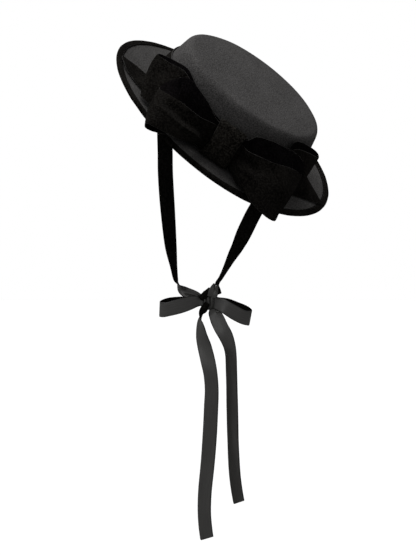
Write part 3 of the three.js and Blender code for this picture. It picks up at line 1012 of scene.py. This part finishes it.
@dataclass(frozen=True)
class HatBand:
    """Velvet ribbon drawn round the foot of the crown; the bow covers its join."""

    shape: HatShape
    height: float = 0.031
    thickness: float = 0.0011
    slack: float = 0.00015
    unevenness: float = 0.0002
    sides: int = 144

    def build(self, cloth: Wardrobe) -> bpy.types.Object:
        """Models and dresses the band."""
        shape = self.shape
        clear = shape.gap + self.slack + self.thickness / 2
        heights = np.linspace(shape.foot, self.height, 9)
        angles = np.linspace(0, math.tau, self.sides + 1) - math.pi / 2
        grid = np.zeros((self.sides + 1, len(heights), 3))
        for i, angle in enumerate(angles):
            for j, height in enumerate(heights):
                radius = shape.crown_radius(height) + clear
                around = np.array((math.cos(angle), math.sin(angle)))
                place = np.array((*around * shape.base_radius, height))
                sag = self.unevenness * ripple(place, 0.02, 6.0)
                grid[i, j] = (*(around * (radius + abs(sag))), height)
        piece = lay_cloth("band_ribbon", grid, closed=True)
        wear(piece, cloth.velvet, cloth.velvet, cloth.velvet_edge_and_highlight)
        make_up(piece, self.thickness, 60, shape)
        fit(piece, Slot.VELVET, "hat_band")
        length = math.tau * (shape.crown_radius(self.height / 2) + clear)
        return piece


# ----------------------------------------------------------------------------------------------
# The big bow
# ----------------------------------------------------------------------------------------------

# Sections of the bow's loops and tails, from the middle of the knot outwards. Each row: where the
# upper edge lies (turn from the knot in degrees, mm out, mm up), where the lower edge lies, then
# how far the middle swells and how deep it is pleated, in mm.

FRONT_LOOP_LEFT: Rows = (
    (-1, 88, 33, -1, 93.6, 7, 0, 0),
    (-10, 89.2, 33.5, -10, 95.2, 6.5, 0, 0),
    (-22.1, 86, 39.5, -16, 101, 4.6, -2, 0),
    (-31.5, 84.3, 40.9, -20, 108.5, 4, -5, 0),
    (-40.9, 83.6, 41.1, -23, 116.5, 3.8, -8, 0),
    (-45.5, 86.2, 38, -25, 124, 3.2, -8, 0),
    (-47.8, 91.2, 30.9, -21.5, 131.5, 7.2, -9, 0),
    (-48.4, 96.5, 23.9, -25.5, 140.5, 3.3, -6, 0),
    (-45.7, 103, 19.9, -27.4, 145, 3.7, 3, 0),
    (-39.8, 109, 23.8, -27.5, 146.5, 7.6, 4, 0),
    (-34.5, 112.5, 28, -25.2, 145, 9.7, 4, 0),
    (-28.6, 110.5, 30.8, -21.5, 139, 11.1, 3, 1.5),
    (-22.8, 107.5, 31.2, -17.4, 131, 11.8, 2, 3.5),
    (-17.2, 103, 30.6, -13.5, 121, 12.9, 2, 3.5),
    (-10.5, 91.7, 30, -10.5, 96.9, 6.5, 0.5, 0.5),
    (-1, 90.1, 31, -1, 95.3, 7, 0, 0),
)

FRONT_LOOP_RIGHT: Rows = (
    (1, 88, 33, 1, 93.6, 7, 0, 0),
    (10, 89.1, 34, 10, 95.2, 6.5, 0, 0),
    (13.9, 86, 40.5, 16, 100, 4.8, -1, 0),
    (20.2, 85, 43.2, 21, 108, 4.2, -3, 0),
    (28, 85, 44.2, 25.5, 117, 4.2, -6, 0),
    (35.7, 87.2, 44.5, 28, 128, 4.7, -7, 0),
    (42, 92, 44.9, 30.3, 135, 3.6, -5, 0),
    (47.3, 98, 41, 32.2, 142.5, 3.3, 0, 0),
    (49.1, 102.5, 32.1, 31, 145, 3.4, 3, 0),
    (40.2, 106, 36.6, 27.9, 144.5, 3.8, 4, 0),
    (32.9, 107.5, 38.1, 24.3, 141, 5.2, 4, 0.5),
    (25.9, 107, 36.1, 20.6, 133, 6.3, 3.5, 1.5),
    (18.1, 103.5, 33.4, 16.8, 120, 7.1, 3, 3.5),
    (12.4, 98.5, 30.3, 15.3, 108, 2.4, 2.5, 2.5),
    (10.5, 91.9, 29, 10.5, 97, 6.2, 0.5, 0.5),
    (1, 90.1, 31, 1, 95.3, 7, 0, 0),
)

REAR_LOOP_LEFT: Rows = (
    (-1, 84.7, 33, -1, 90.3, 7, 0, 0),
    (-10, 85.8, 34, -10, 91.9, 6, 0, 0),
    (-22, 82.2, 37, -22, 95, 3.6, 0, 0),
    (-38.1, 80.6, 40.4, -33, 98, 2.8, -0.5, 0),
    (-50.3, 79.7, 43.2, -41, 102.5, 2.4, -1, 0),
    (-64.2, 82, 37.1, -46.5, 107, 2.2, -1, 0),
    (-76.6, 90.5, 29.1, -49.5, 110, 2.4, 2, 0),
    (-74.5, 95, 28.6, -47.5, 112, 3.8, 3.5, 0),
    (-62.5, 88.5, 34.1, -42, 109, 4.6, 0.5, 0),
    (-49.8, 83, 40.6, -36, 105, 4.8, 0, 0),
    (-37.3, 83, 38.7, -28, 101, 5, 0, 0),
    (-22, 84.6, 35, -20, 98, 5.6, 0, 0),
    (-10, 87.7, 33, -10, 93.5, 6.4, 0, 0),
    (-1, 86.3, 33, -1, 92, 7, 0, 0),
)

REAR_LOOP_RIGHT: Rows = (
    (1, 84.7, 33, 1, 90.3, 7, 0, 0),
    (10, 85.8, 34, 10, 91.9, 6, 0, 0),
    (22, 82.2, 37.4, 22, 95, 3.6, 0, 0),
    (33.9, 80.8, 41.1, 34, 98, 2.8, -0.5, 0),
    (43.7, 80, 41.8, 39, 100, 2.4, -0.5, 0),
    (43.8, 79.4, 49.6, 42.2, 101.5, 2.4, -1, 0),
    (62.6, 81.2, 47, 45, 104.5, 2.3, -1, 0),
    (70.2, 88, 43.6, 47.5, 107.5, 2.4, 1, 0),
    (68.2, 91.5, 42.2, 46.5, 109.5, 3.8, 2, 0),
    (58.2, 87.6, 44.8, 43, 107, 4.6, 1, 0),
    (46.8, 83.8, 45.2, 37, 104, 4.8, 0, 0),
    (41.2, 82.4, 40.8, 34, 102, 5, 0, 0),
    (33.2, 82.8, 39.1, 30, 101, 5, 0, 0),
    (22, 84.6, 35, 20, 98, 5.6, 0, 0),
    (10, 87.7, 33, 10, 93.5, 6.4, 0, 0),
    (1, 86.3, 33, 1, 92, 7, 0, 0),
)

TAIL_LEFT: Rows = (
    (-1, 83.7, 30, -1, 88.7, 7, 0, 0),
    (-10, 85.2, 29, -10, 90.5, 5, 0, 0),
    (-25, 83.3, 27, -25, 89.6, 2.6, 0, 0),
    (-38, 83.8, 23, -38, 91.2, 2, 0, 0),
    (-50, 86, 18, -48, 95.3, 1.9, 0, 0),
    (-62, 89.5, 12, -57, 101.8, 1.9, 0.8, 0),
    (-74, 94, 6, -64.5, 109, 2, 1, 0),
    (-80, 103, 3.6, -70.5, 114.5, 2.6, 0.5, 0),
    (-80, 118.6, 3.6, -78.4, 119, 3.6, 0, 0),
)

TAIL_RIGHT: Rows = (
    (1, 83.7, 30, 1, 88.7, 7, 0, 0),
    (10, 85.2, 29, 10, 90.5, 5, 0, 0),
    (25, 83.3, 27, 25, 89.6, 2.6, 0, 0),
    (38, 83.8, 24, 38, 91.2, 2, 0, 0),
    (50, 85.5, 22, 50, 94, 1.9, 0, 0),
    (63, 88, 18.5, 61, 98, 1.9, 0, 0),
    (76, 90.5, 16, 69.5, 106.5, 2, -0.5, 0),
    (85, 96.5, 8, 74, 113.5, 2.6, -0.5, 0),
    (77.5, 118.8, 3.8, 75.9, 119.2, 3.8, 0, 0),
)


@dataclass(frozen=True)
class BowCut:
    """One cut of velvet for the bow: its sections, flat size (width, length), area and creases.

    A tail's area is that of its pointed cut. A loop used elsewhere needs its pleats and no stated
    area.
    """

    name: str
    node: str
    rows: Rows
    flat: tuple[float, float]
    area: float
    seed: float
    creases: tuple[Crease, ...] = ()

    @property
    def is_tail(self) -> bool:
        """True for a tail, which has a free end, and false for a loop."""
        return self.rows is TAIL_LEFT or self.rows is TAIL_RIGHT


@dataclass(frozen=True)
class Bow:
    """Flat bow of wide velvet ribbon: two loops a side, two tails and a belt round the middle."""

    shape: HatShape
    thickness: float = 0.0009
    softness: float = 0.00045
    knot_width: float = 0.030
    waist: float = 0.42

    CUTS = (
        BowCut("bow_tail_cloth_left", "bow_tail_left", TAIL_LEFT, (0.026, 0.137), 0.0031, 3.1),
        BowCut("bow_tail_cloth_right", "bow_tail_right", TAIL_RIGHT, (0.026, 0.142), 0.0033, 3.7),
        BowCut("bow_loop_rear_left", "bow_rear_loop_left", REAR_LOOP_LEFT, (0.063, 0.205), 0.0107, 5.2),
        BowCut("bow_loop_rear_right", "bow_rear_loop_right", REAR_LOOP_RIGHT, (0.063, 0.192), 0.0099, 5.9),
        BowCut(
            "bow_loop_front_left", "bow_front_loop_left", FRONT_LOOP_LEFT, (0.063, 0.188), 0.0104, 7.3,
            (
                Crease(0.58, 0.96, 0.42, 0.80, 0.0022, 0.045, 0.08),
                Crease(0.6, 0.95, 0.22, 0.50, -0.0035, 0.16),
            ),
        ),
        BowCut(
            "bow_loop_front_right", "bow_front_loop_right", FRONT_LOOP_RIGHT, (0.063, 0.180), 0.0099, 8.9,
            (
                Crease(0.72, 0.96, 0.68, 0.42, 0.0024, 0.05),
                Crease(0.74, 0.95, 0.40, 0.24, -0.0045, 0.10),
            ),
        ),
    )

    def _grid(self, cut: BowCut) -> Grid:
        """Points of a cut's middle layer, from its sections."""
        rows = np.array(cut.rows, float)
        side = math.copysign(1.0, rows[-1, 0])
        top = np.array([self.shape.bow_place(*row[:3]) for row in rows])
        hem = np.array([self.shape.bow_place(*row[3:6]) for row in rows])
        along = np.linspace(0, 1, 55 if cut.is_tail else 85)
        across = np.linspace(0, 1, 15 if cut.is_tail else 23)
        upper, lower = curve_through(top, along), curve_through(hem, along)
        belly = ease(rows[:, 6], along) * -side * MM
        pleat = ease(rows[:, 7], along) * side * MM
        run = unit(np.gradient(upper, axis=0) + np.gradient(lower, axis=0))
        outward = unit(np.cross(lower - upper, run))
        grid = np.zeros((len(along), len(across), 3))
        for i, share in enumerate(along):
            free = min(1.0, 6 * share, 1.0 if cut.is_tail else 6 * (1 - share))
            line = upper[i] + np.outer(across, lower[i] - upper[i])
            swell = belly[i] * np.sin(math.pi * across) + pleat[i] * np.sin(math.tau * across)
            for crease in cut.creases:
                swell = swell - side * crease.lift(share, across)
            soft = np.array([ripple(point, 0.016, cut.seed) for point in line])
            swell = swell + free * self.softness * soft
            grid[i] = line + np.outer(swell, outward[i])
        return grid

    def _cut(self, cut: BowCut, cloth: Wardrobe) -> bpy.types.Object:
        """Models and dresses one loop or tail."""
        piece = lay_cloth(cut.name, self._grid(cut))
        # Loops take the darker copy of the velvet on their inner faces: painted shade inside the loops.
        faces = (cloth.velvet, cloth.velvet if cut.is_tail else cloth.velvet_painted_shade)
        # The cut edges take the lighter edge velvet: woven edge tone plus painted highlight.
        wear(piece, *(faces if cut.rows[-1][0] < 0 else reversed(faces)), cloth.velvet_edge_and_highlight)
        make_up(piece, self.thickness, 70, self.shape)
        fit(piece, Slot.VELVET, cut.node)
        return piece

    def _belt(self, cloth: Wardrobe) -> bpy.types.Object:
        """Models the belt of gathered ribbon round the bow's middle.

        Its outline is given in mm out from the crown's axis and mm up, from the crown's side under
        the bow, over the front and back.
        """
        outline = np.array(
            [
                (81.6, 32.2), (84.2, 20), (86.8, 8), (88, 3.8), (92, 2.25), (96.8, 3.05),
                (98.95, 7.35), (99.4, 14), (98, 21.8), (94.65, 29.6), (90.3, 34.75),
                (85.7, 36.55), (82.45, 35.3), (81.6, 32.2),
            ]
        )
        outline = np.column_stack((outline, np.zeros(len(outline))))
        around = curve_through(outline, np.linspace(0, 1, 97))
        shares = np.linspace(-1, 1, 25)
        centre = np.array((92.0, 19.0))
        grid = np.zeros((len(around), len(shares), 3))
        for i, (out, up, _) in enumerate(around):
            ray = unit(np.array((out, up)) - centre)
            front = max(0.0, ray[0])
            for j, share in enumerate(shares):
                sway = 1.1 * math.sin(0.13 * up + 1.0)
                folds = 0.8 * math.cos(3.1 * math.pi * share + sway)
                folds -= 1.1 * math.exp(-(((share - 0.34 + 0.012 * up) / 0.08) ** 2))
                tuck = (2.2 if share > 0 else 0.8) * max(0.0, abs(share) - 0.72) ** 2 / 0.28**2
                push = (folds * 0.8 - tuck) * (0.25 + 0.75 * front)
                width = self.knot_width / 2 / MM * (0.94 + 0.05 * math.sin(0.16 * up + 0.4))
                if share < 0:
                    width *= 1 - self.waist * front * max(0.0, 1 - up / 34)
                grid[i, j] = (
                    share * width * MM,
                    -(out + ray[0] * push) * MM,
                    (up + ray[1] * push) * MM,
                )
        grid[-1] = grid[0]
        piece = lay_cloth("bow_knot_belt", grid, closed=True)
        # The belt takes the lighter copy of the velvet: painted sheen on the knot.
        wear(piece, cloth.velvet_painted_sheen, cloth.velvet_painted_sheen, cloth.velvet_edge_and_highlight)
        piece.data.transform(Matrix.Rotation(math.radians(self.shape.bow_turn), 4, "Z"))
        self.shape.follow_brim(piece)
        make_up(piece, self.thickness, 70, self.shape)
        fit(piece, Slot.VELVET, "bow_knot")
        return piece

    def build(self, cloth: Wardrobe) -> list[bpy.types.Object]:
        """Models all the bow's pieces."""
        return [self._cut(cut, cloth) for cut in self.CUTS] + [self._belt(cloth)]


# ----------------------------------------------------------------------------------------------
# Chin ribbons
# ----------------------------------------------------------------------------------------------

# Middle line of each ribbon in mm (x, y, z), how far its face is turned from the front in degrees
# (0 shows the velvet, 180 the satin back) and its width in mm.

TIE_LEFT: Rows = (
    (-43.9, 1.7, 67.8, 87, 14),
    (-49, 4.9, 63.9, 87, 14),
    (-54.1, 8.1, 60, 87, 14),
    (-58.2, 10.2, 55.4, 86, 14),
    (-59.2, 9.6, 46, 72, 14),
    (-57.6, 5.4, 16, 32, 14),
    (-55.8, 0.6, -23, 8, 14),
    (-55.5, -3, -42.2, 7, 14),
    (-54.5, -5, -61.3, 10, 14),
    (-53.1, -7, -80.3, 19, 14),
    (-51.6, -9, -99.3, 30, 14),
    (-49.8, -10.5, -118.2, 44, 14),
    (-47.4, -11.5, -134.1, 62, 13),
    (-45.2, -12, -147, 71, 11),
    (-43.2, -12.4, -152, 100, 10),
    (-40, -12.7, -155.8, 146, 9),
    (-36, -13, -158.4, 186, 9),
    (-31.6, -13.2, -159.6, 198, 8.5),
    (-26.6, -13.4, -161.2, 202, 7.5),
    (-22.4, -13.5, -163, 204, 5.5),
)

TIE_RIGHT: Rows = (
    (55.6, -43.1, -39.7, 57, 14),
    (49.3, -38.5, -51.7, 57, 14),
    (44.6, -36, -58.4, 54, 14),
    (40.4, -35, -65, 42, 14),
    (34.3, -33, -73.7, 20, 14),
    (27.3, -30.6, -85.6, 3, 14),
    (20.2, -27, -100.2, 6, 14),
    (13.2, -23, -115.1, 36, 14),
    (9.1, -21, -122.5, 47, 14),
    (5.1, -19, -130.1, 59, 13.5),
    (1.2, -17.5, -137.6, 67, 12.5),
    (-2.9, -16, -145, 70, 10.5),
    (-5.6, -14.4, -149, 66, 8.5),
    (-6.6, -13, -152.4, 60, 7.5),
    (-5.4, -12.4, -156, 55, 7),
    (-4.2, -12.1, -160.4, 50, 6.5),
)

CHIN_TAIL_LEFT: Rows = (
    (-15.4, -21.3, -168.6, 12, 4.5),
    (-17.2, -21.5, -171.8, 15, 6),
    (-19.3, -21.2, -175.4, 30, 7.5),
    (-21.2, -20.4, -178.6, 62, 8),
    (-22.3, -19.8, -181.8, 92, 9),
    (-22.6, -19.4, -186, 113, 11),
    (-22.2, -20.2, -191.4, 125, 13),
    (-20.9, -22.6, -200.3, 140, 14),
    (-18, -25.6, -210.3, 158, 14),
    (-15, -28.8, -222.6, 162, 14),
    (-12.7, -31, -234, 155, 14),
    (-11.5, -31.6, -248.9, 153, 14),
    (-12, -31, -264.8, 157, 14),
    (-13.3, -29, -292.5, 158, 14),
    (-15.4, -27, -320.2, 155, 14),
    (-17.8, -25.8, -345, 152, 14),
    (-18.4, -25, -363.8, 150, 14),
    (-17.4, -25, -378.6, 152, 14),
    (-15.9, -25, -389.3, 152, 14),
)

CHIN_TAIL_RIGHT: Rows = (
    (-6.4, -13.9, -171.2, 178, 5.6),
    (-6.6, -14.6, -174.4, 175, 7.5),
    (-8.2, -15.2, -177.2, 172, 11.8),
    (-7.6, -16.4, -180.4, 167, 12.6),
    (-5.5, -18.6, -185.4, 170, 13.5),
    (-2.4, -21.8, -191.9, 170, 13.5),
    (2, -25.2, -199.8, 157, 14),
    (5, -27.2, -208.2, 143, 14),
    (6.4, -28, -217.1, 137, 14),
    (6.9, -27.8, -230, 136, 14),
    (7.4, -26.6, -246.8, 136, 14),
    (7.9, -24.6, -270.6, 138, 14),
    (8.6, -22.8, -298.3, 137, 14),
    (9.9, -21.8, -326, 138, 14),
    (11.9, -21.4, -343.3, 138, 14),
    (14.2, -21.4, -356, 138, 14),
)

# Upper and lower edge (x, y, z, x, y, z in mm) of the small bow's loops, from the back of the
# knot round to its front.

CHIN_LOOP_LEFT: Rows = (
    (-19.5, -11.2, -164.3, -19.5, -11.2, -170.8),
    (-22.4, -11, -163.9, -22.4, -11, -170.6),
    (-30.9, -10, -162.5, -30.9, -10, -173.8),
    (-42.2, -9.6, -162.6, -42.4, -9.6, -177),
    (-53.7, -10.6, -163.9, -53.7, -10.6, -179.2),
    (-60.2, -14.4, -166.8, -60.7, -14.6, -181.5),
    (-56, -19, -168.1, -57, -19, -182.1),
    (-48.2, -20, -166.2, -49.5, -20.2, -180.7),
    (-38.4, -19.6, -163.5, -39.3, -19.8, -178.2),
    (-29.5, -18, -161.7, -30.4, -18.2, -175),
    (-22.4, -16, -162.4, -22.6, -16, -171.7),
    (-19.5, -16.6, -163, -19.5, -16.6, -172.4),
)

CHIN_LOOP_RIGHT: Rows = (
    (-9.3, -11.6, -163.4, -9.3, -11.6, -170.8),
    (-5.2, -11.5, -163.3, -5.2, -11.5, -171),
    (3.9, -10, -164.3, 2.3, -10, -177.8),
    (13.5, -9.8, -167.7, 10.8, -9.8, -182.7),
    (22.3, -10.8, -171.4, 19.4, -10.8, -186.3),
    (26.6, -14.6, -175.1, 23.8, -14.8, -189.9),
    (20.6, -18.6, -175.4, 17.2, -18.6, -188.8),
    (13.3, -19.4, -171.6, 6.7, -19.6, -183.7),
    (5.7, -19.2, -167.3, -1.8, -19.4, -178),
    (0.6, -18, -164.6, -4.6, -17.8, -176.4),
    (-5.2, -16.2, -163, -7.2, -16.4, -175),
    (-9.3, -16.2, -162.6, -9.3, -16.2, -173.8),
)

# The two crossings over the knot, with the same columns as the ties and the hanging ends.

KNOT_FOLD: Rows = (
    (-7.8, -18.4, -151.0, 196, 4.0),
    (-8.6, -20.2, -153.6, 196, 6.4),
    (-9.6, -21.9, -156.8, 194, 8.5),
    (-10.4, -22.6, -160.4, 190, 9.0),
    (-11.4, -21.8, -163.2, 188, 8.5),
)

KNOT_WRAP: Rows = (
    (-11.8, -19.6, -155.8, 0, 5.5),
    (-14.4, -21.0, -158.2, 0, 6.0),
    (-17.2, -21.4, -160.6, 0, 6.2),
    (-19.8, -20.4, -163.2, 0, 6.0),
    (-21.4, -18.8, -165.4, 0, 5.5),
)


@dataclass(frozen=True)
class Strip:
    """One run of the narrow ribbon that follows a middle line.

    Only the chin knot's two crossings state an area. It is a known fault, as in BowCut: they are
    plain rectangles, and the wrap has only 0.55 of its own.
    """

    name: str
    node: str
    rows: Rows
    length: float
    steps: int
    slot: Slot
    slant: float = 0.0
    rests_on: str = "chin_knot_belt"
    area: float | None = None


@dataclass(frozen=True)
class ChinLoop:
    """One loop of the small bow, satin outside and velvet inside."""

    name: str
    node: str
    rows: Rows
    length: float


@dataclass(frozen=True)
class ChinRibbons:
    """Narrow velvet ribbons that tie in a small bow under the chin."""

    width: float = 0.014
    thickness: float = 0.0008
    rounding: float = 0.0007
    roll: float = 0.0005
    turned_roll: float = 0.0014
    pucker: float = 0.0012
    unevenness: float = 0.0002

    STRIPS = (
        Strip(
            "tie_ribbon_left", "tie_left", TIE_LEFT, 0.255, 110, Slot.RIBBON_FACE,
            rests_on="brim_plate",
        ),
        Strip(
            "tie_ribbon_right", "tie_right", TIE_RIGHT, 0.142, 80, Slot.RIBBON_FACE,
            rests_on="brim_plate",
        ),
        Strip(
            "chin_ribbon_end_left", "chin_tail_left", CHIN_TAIL_LEFT, 0.226, 90, Slot.RIBBON_BACK,
            slant=0.003,
        ),
        Strip(
            "chin_ribbon_end_right", "chin_tail_right", CHIN_TAIL_RIGHT, 0.191, 80, Slot.RIBBON_BACK,
            slant=0.003,
        ),
    )
    LOOPS = (
        ChinLoop("chin_bow_loop_left", "chin_loop_left", CHIN_LOOP_LEFT, 0.082),
        ChinLoop("chin_bow_loop_right", "chin_loop_right", CHIN_LOOP_RIGHT, 0.072),
    )

    def _strip_grid(self, strip: Strip, columns: int = 8) -> Grid:
        """Points of a strip's middle layer."""
        rows = np.array(strip.rows, float)
        along = np.linspace(0, 1, strip.steps + 1)
        centre = curve_through(rows[:, :3] * MM, along)
        twist = curve_through(np.column_stack((rows[:, 3:5], np.zeros(len(rows)))), along)
        run = unit(np.gradient(centre, axis=0))
        level = unit(np.cross(run, (0.0, 1.0, 0.0)))
        back = unit(np.cross(level, run))
        angle = np.radians(twist[:, 0])[:, None]
        sideways = level * np.cos(angle) + back * np.sin(angle)
        face = unit(np.cross(run, sideways))
        shares = np.linspace(-0.5, 0.5, columns + 1)
        grid = np.zeros((len(along), len(shares), 3))
        for i, centre_point in enumerate(centre):
            width = twist[i, 1] * MM
            gathered = max(0.0, 1 - width / self.width)
            edge_on = 1 - abs(math.cos(angle[i, 0]))
            rolled = self.roll + self.turned_roll * gathered * edge_on
            slant = strip.slant * (i == strip.steps)
            for j, share in enumerate(shares):
                cup = rolled * (1 - (2 * share) ** 2)
                cup += gathered * self.pucker * math.cos(9 * share)
                wander = self.unevenness * ripple(centre_point, 0.02, 2.3 + share)
                grid[i, j] = (
                    centre_point
                    + sideways[i] * share * (width + self.rounding)
                    + run[i] * share * slant
                    + face[i] * (cup + wander)
                )
        return grid

    def _finish(
        self, piece: bpy.types.Object
    ) -> None:
        """Thickens a ribbon piece, rounds it and shades it smooth."""
        make_up(piece, self.thickness, 70)

    def strip(self, strip: Strip, cloth: Wardrobe) -> bpy.types.Object:
        """Models and dresses one hanging ribbon."""
        piece = lay_cloth(strip.name, self._strip_grid(strip))
        wear(piece, cloth.satin, cloth.ribbon_velvet, cloth.ribbon_edge)
        self._finish(piece)
        return fit(piece, strip.slot, *([strip.node] if strip.node else []))

    def _loop(self, loop: ChinLoop, cloth: Wardrobe) -> bpy.types.Object:
        """Models and dresses one loop of the small bow."""
        rows = np.array(loop.rows, float) * MM
        along, across = np.linspace(0, 1, 73), np.linspace(0, 1, 9)
        upper, lower = curve_through(rows[:, :3], along), curve_through(rows[:, 3:], along)
        grid = upper[:, None] * (1 - across)[None, :, None] + lower[:, None] * across[None, :, None]
        piece = lay_cloth(loop.name, grid)
        faces = (cloth.satin, cloth.ribbon_velvet)
        wear(piece, *(faces if loop.rows is CHIN_LOOP_LEFT else reversed(faces)), cloth.ribbon_edge)
        self._finish(piece)
        return fit(piece, Slot.RIBBON_BACK, loop.node)

    def build(self, cloth: Wardrobe) -> list[bpy.types.Object]:
        """Models all the narrow ribbons and the knot."""
        pieces = [self.strip(strip, cloth) for strip in self.STRIPS]
        pieces += [self._loop(loop, cloth) for loop in self.LOOPS]
        return pieces + ChinKnot(self).build(cloth)


@dataclass(frozen=True)
class ChinKnot:
    """The small bow's knot: a gathered belt, its filling, and two crossings over it.

    It only looks like a knot: its strips are separate, with cut ends that show close up, and
    neither tie reaches it.
    """

    ribbons: ChinRibbons
    centre: tuple[float, float, float] = (-0.0144, -0.0135, -0.1658)
    across: float = 0.0106
    deep: float = 0.0128
    tall: float = 0.0182
    core_across: float = 0.0088
    core_reach: float = 0.0034
    core_tall: float = 0.0148
    core_back: float = 0.0005
    core_skew: float = 1.3

    CROSSINGS = (
        Strip("chin_knot_fold", "", KNOT_FOLD, 0.012, 16, Slot.RIBBON_BACK, area=0.00010),
        Strip("chin_knot_wrap", "", KNOT_WRAP, 0.015, 18, Slot.RIBBON_FACE, area=0.00011),
    )

    def _dress(self, piece: bpy.types.Object, cloth: Wardrobe) -> None:
        """Makes up a laid piece of the narrow ribbon, satin outwards."""
        wear(piece, cloth.satin, cloth.ribbon_velvet, cloth.ribbon_edge)
        make_up(piece, self.ribbons.thickness, 70)

    def _belt(self, cloth: Wardrobe) -> bpy.types.Object:
        """Models the belt round the knot, drawn into deep gathers in front."""
        grid = np.zeros((65, 21, 3))
        for i, angle in enumerate(np.linspace(0, math.tau, 65)):
            front = max(0.0, math.cos(angle))
            for j, share in enumerate(np.linspace(-1, 1, 21)):
                gather = math.cos(3.2 * math.pi * share + 0.8 * math.sin(angle) + 0.6)
                bulge = 1 - 0.22 * share**2 + 0.16 * front * gather
                grid[i, j] = (
                    self.centre[0] + share * self.across / 2 * (0.9 + 0.1 * math.cos(angle)),
                    self.centre[1] - math.cos(angle) * self.deep / 2 * bulge,
                    self.centre[2] + math.sin(angle) * self.tall / 2 * (1 - 0.12 * share**2),
                )
        grid[-1] = grid[0]
        piece = lay_cloth("chin_knot_belt", grid, closed=True)
        self._dress(piece, cloth)
        fit(piece, Slot.RIBBON_BACK, "chin_knot")
        return piece

    def _core(self, cloth: Wardrobe) -> bpy.types.Object:
        """Models the ribbon's run through the knot, folded to and fro inside the belt."""
        grid = np.zeros((61, 9, 3))
        for i, share in enumerate(np.linspace(-1, 1, 61)):
            reach = self.core_reach * math.sqrt(1 - 0.9 * share**2)
            for j, along in enumerate(np.linspace(-1, 1, 9)):
                fold = math.cos(3 * math.pi * share + self.core_skew * along)
                grid[i, j] = (
                    self.centre[0] + along * self.core_across / 2,
                    self.centre[1] + self.core_back + reach * fold,
                    self.centre[2] + share * self.core_tall / 2,
                )
        piece = lay_cloth("chin_knot_core", grid)
        self._dress(piece, cloth)
        fit(piece, Slot.RIBBON_BACK)
        return piece

    def build(self, cloth: Wardrobe) -> list[bpy.types.Object]:
        """Models the belt, its filling and the crossings."""
        crossings = [self.ribbons.strip(strip, cloth) for strip in self.CROSSINGS]
        return [self._belt(cloth), self._core(cloth), *crossings]


# ----------------------------------------------------------------------------------------------
# Studio
# ----------------------------------------------------------------------------------------------


@dataclass(frozen=True)
class Studio:
    """Pale floor, soft light from above and a camera level with the ribbons."""

    floor_height: float = -0.62
    floor_radius: float = 30.0
    camera_place: tuple[float, float, float] = (-0.01492, -1.5, -0.14461)
    lens: float = 102.16
    sun_strength: float = 3.0
    fill_strength: float = 0.18
    room_strength: float = 0.29

    def camera(self) -> bpy.types.Object:
        """Sets up the camera."""
        data = bpy.data.cameras.new("camera")
        data.lens = self.lens
        data.sensor_width = 36.0
        camera = bpy.data.objects.new("camera", data)
        camera.location = self.camera_place
        camera.rotation_euler = (math.radians(90), 0, 0)
        bpy.context.collection.objects.link(camera)
        bpy.context.scene.camera = camera
        return camera

    def _light(self, name: str, kind: str, energy: float, place: Vector, aim: Vector) -> bpy.types.Light:
        """Adds a light at a place, aimed at another."""
        data = bpy.data.lights.new(name, kind)
        data.energy = energy
        light = bpy.data.objects.new(name, data)
        light.location = place
        light.rotation_euler = (aim - place).to_track_quat("-Z", "Y").to_euler()
        bpy.context.collection.objects.link(light)
        return data

    def lights(self) -> None:
        """Sets up the lights and the pale surroundings."""
        aim = Vector((0, 0, 0))
        sun = self._light("overhead", "SUN", self.sun_strength, Vector((-0.35, 0.25, 1.5)), aim)
        sun.angle = math.radians(60)
        fill = self._light("window", "SUN", self.fill_strength, Vector((-0.5, -0.87, 0.6)), aim)
        fill.angle = math.radians(40)
        world = bpy.data.worlds.new("room")
        bpy.context.scene.world = world
        world.use_nodes = True
        bench = NodeBench(world.node_tree)
        room = bench.add("Background", Color=(1, 1, 1, 1), Strength=self.room_strength)
        seen = bench.add("Background", Color=(1, 1, 1, 1), Strength=1.0)
        path = bench.add("LightPath")
        mix = bench.add("MixShader", in_0=path.outputs["Is Camera Ray"])
        output = bench.add("OutputWorld")
        bench.tree.links.new(room.outputs[0], mix.inputs[1])
        bench.tree.links.new(seen.outputs[0], mix.inputs[2])
        bench.tree.links.new(mix.outputs[0], output.inputs[0])

    def floor(self) -> None:
        """Lays the floor."""
        clear_selection()
        bpy.ops.mesh.primitive_circle_add(
            vertices=64, radius=self.floor_radius, fill_type="NGON", location=(0, 0, self.floor_height)
        )
        floor = bpy.context.object
        floor.name = "studio_floor"
        settle(floor)
        material = bpy.data.materials.new("pale paper")
        material.use_nodes = True
        shader = material.node_tree.nodes["Principled BSDF"]
        bench = NodeBench(material.node_tree, keep=True)
        seen = bench.add("LightPath").outputs["Is Camera Ray"]
        pale = bench.blend(seen, (0.17, 0.17, 0.17), (0.86, 0.86, 0.86))
        bench.tree.links.new(pale, shader.inputs["Base Color"])
        shader.inputs["Roughness"].default_value = 1.0
        shader.inputs["Specular IOR Level"].default_value = 0.0
        floor.data.materials.append(material)

    def build(self) -> None:
        """Sets up the whole studio."""
        bpy.context.scene.view_settings.view_transform = "Standard"
        self.camera()
        self.lights()
        self.floor()


# ----------------------------------------------------------------------------------------------
# Making
# ----------------------------------------------------------------------------------------------


def main() -> None:
    """Builds the hat round its frame, piece by piece."""
    logging.basicConfig(level=logging.INFO, format="%(message)s")
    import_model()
    Studio().build()
    cloth = Wardrobe()
    shape = HatShape()
    Crown(shape).build(cloth)
    Brim(shape).build(cloth)
    binding = RimBinding(shape)
    binding.sew(binding.build(cloth), cloth)
    HatBand(shape).build(cloth)
    Bow(shape).build(cloth)
    ChinRibbons().build(cloth)


if __name__ == "__main__":
    main()
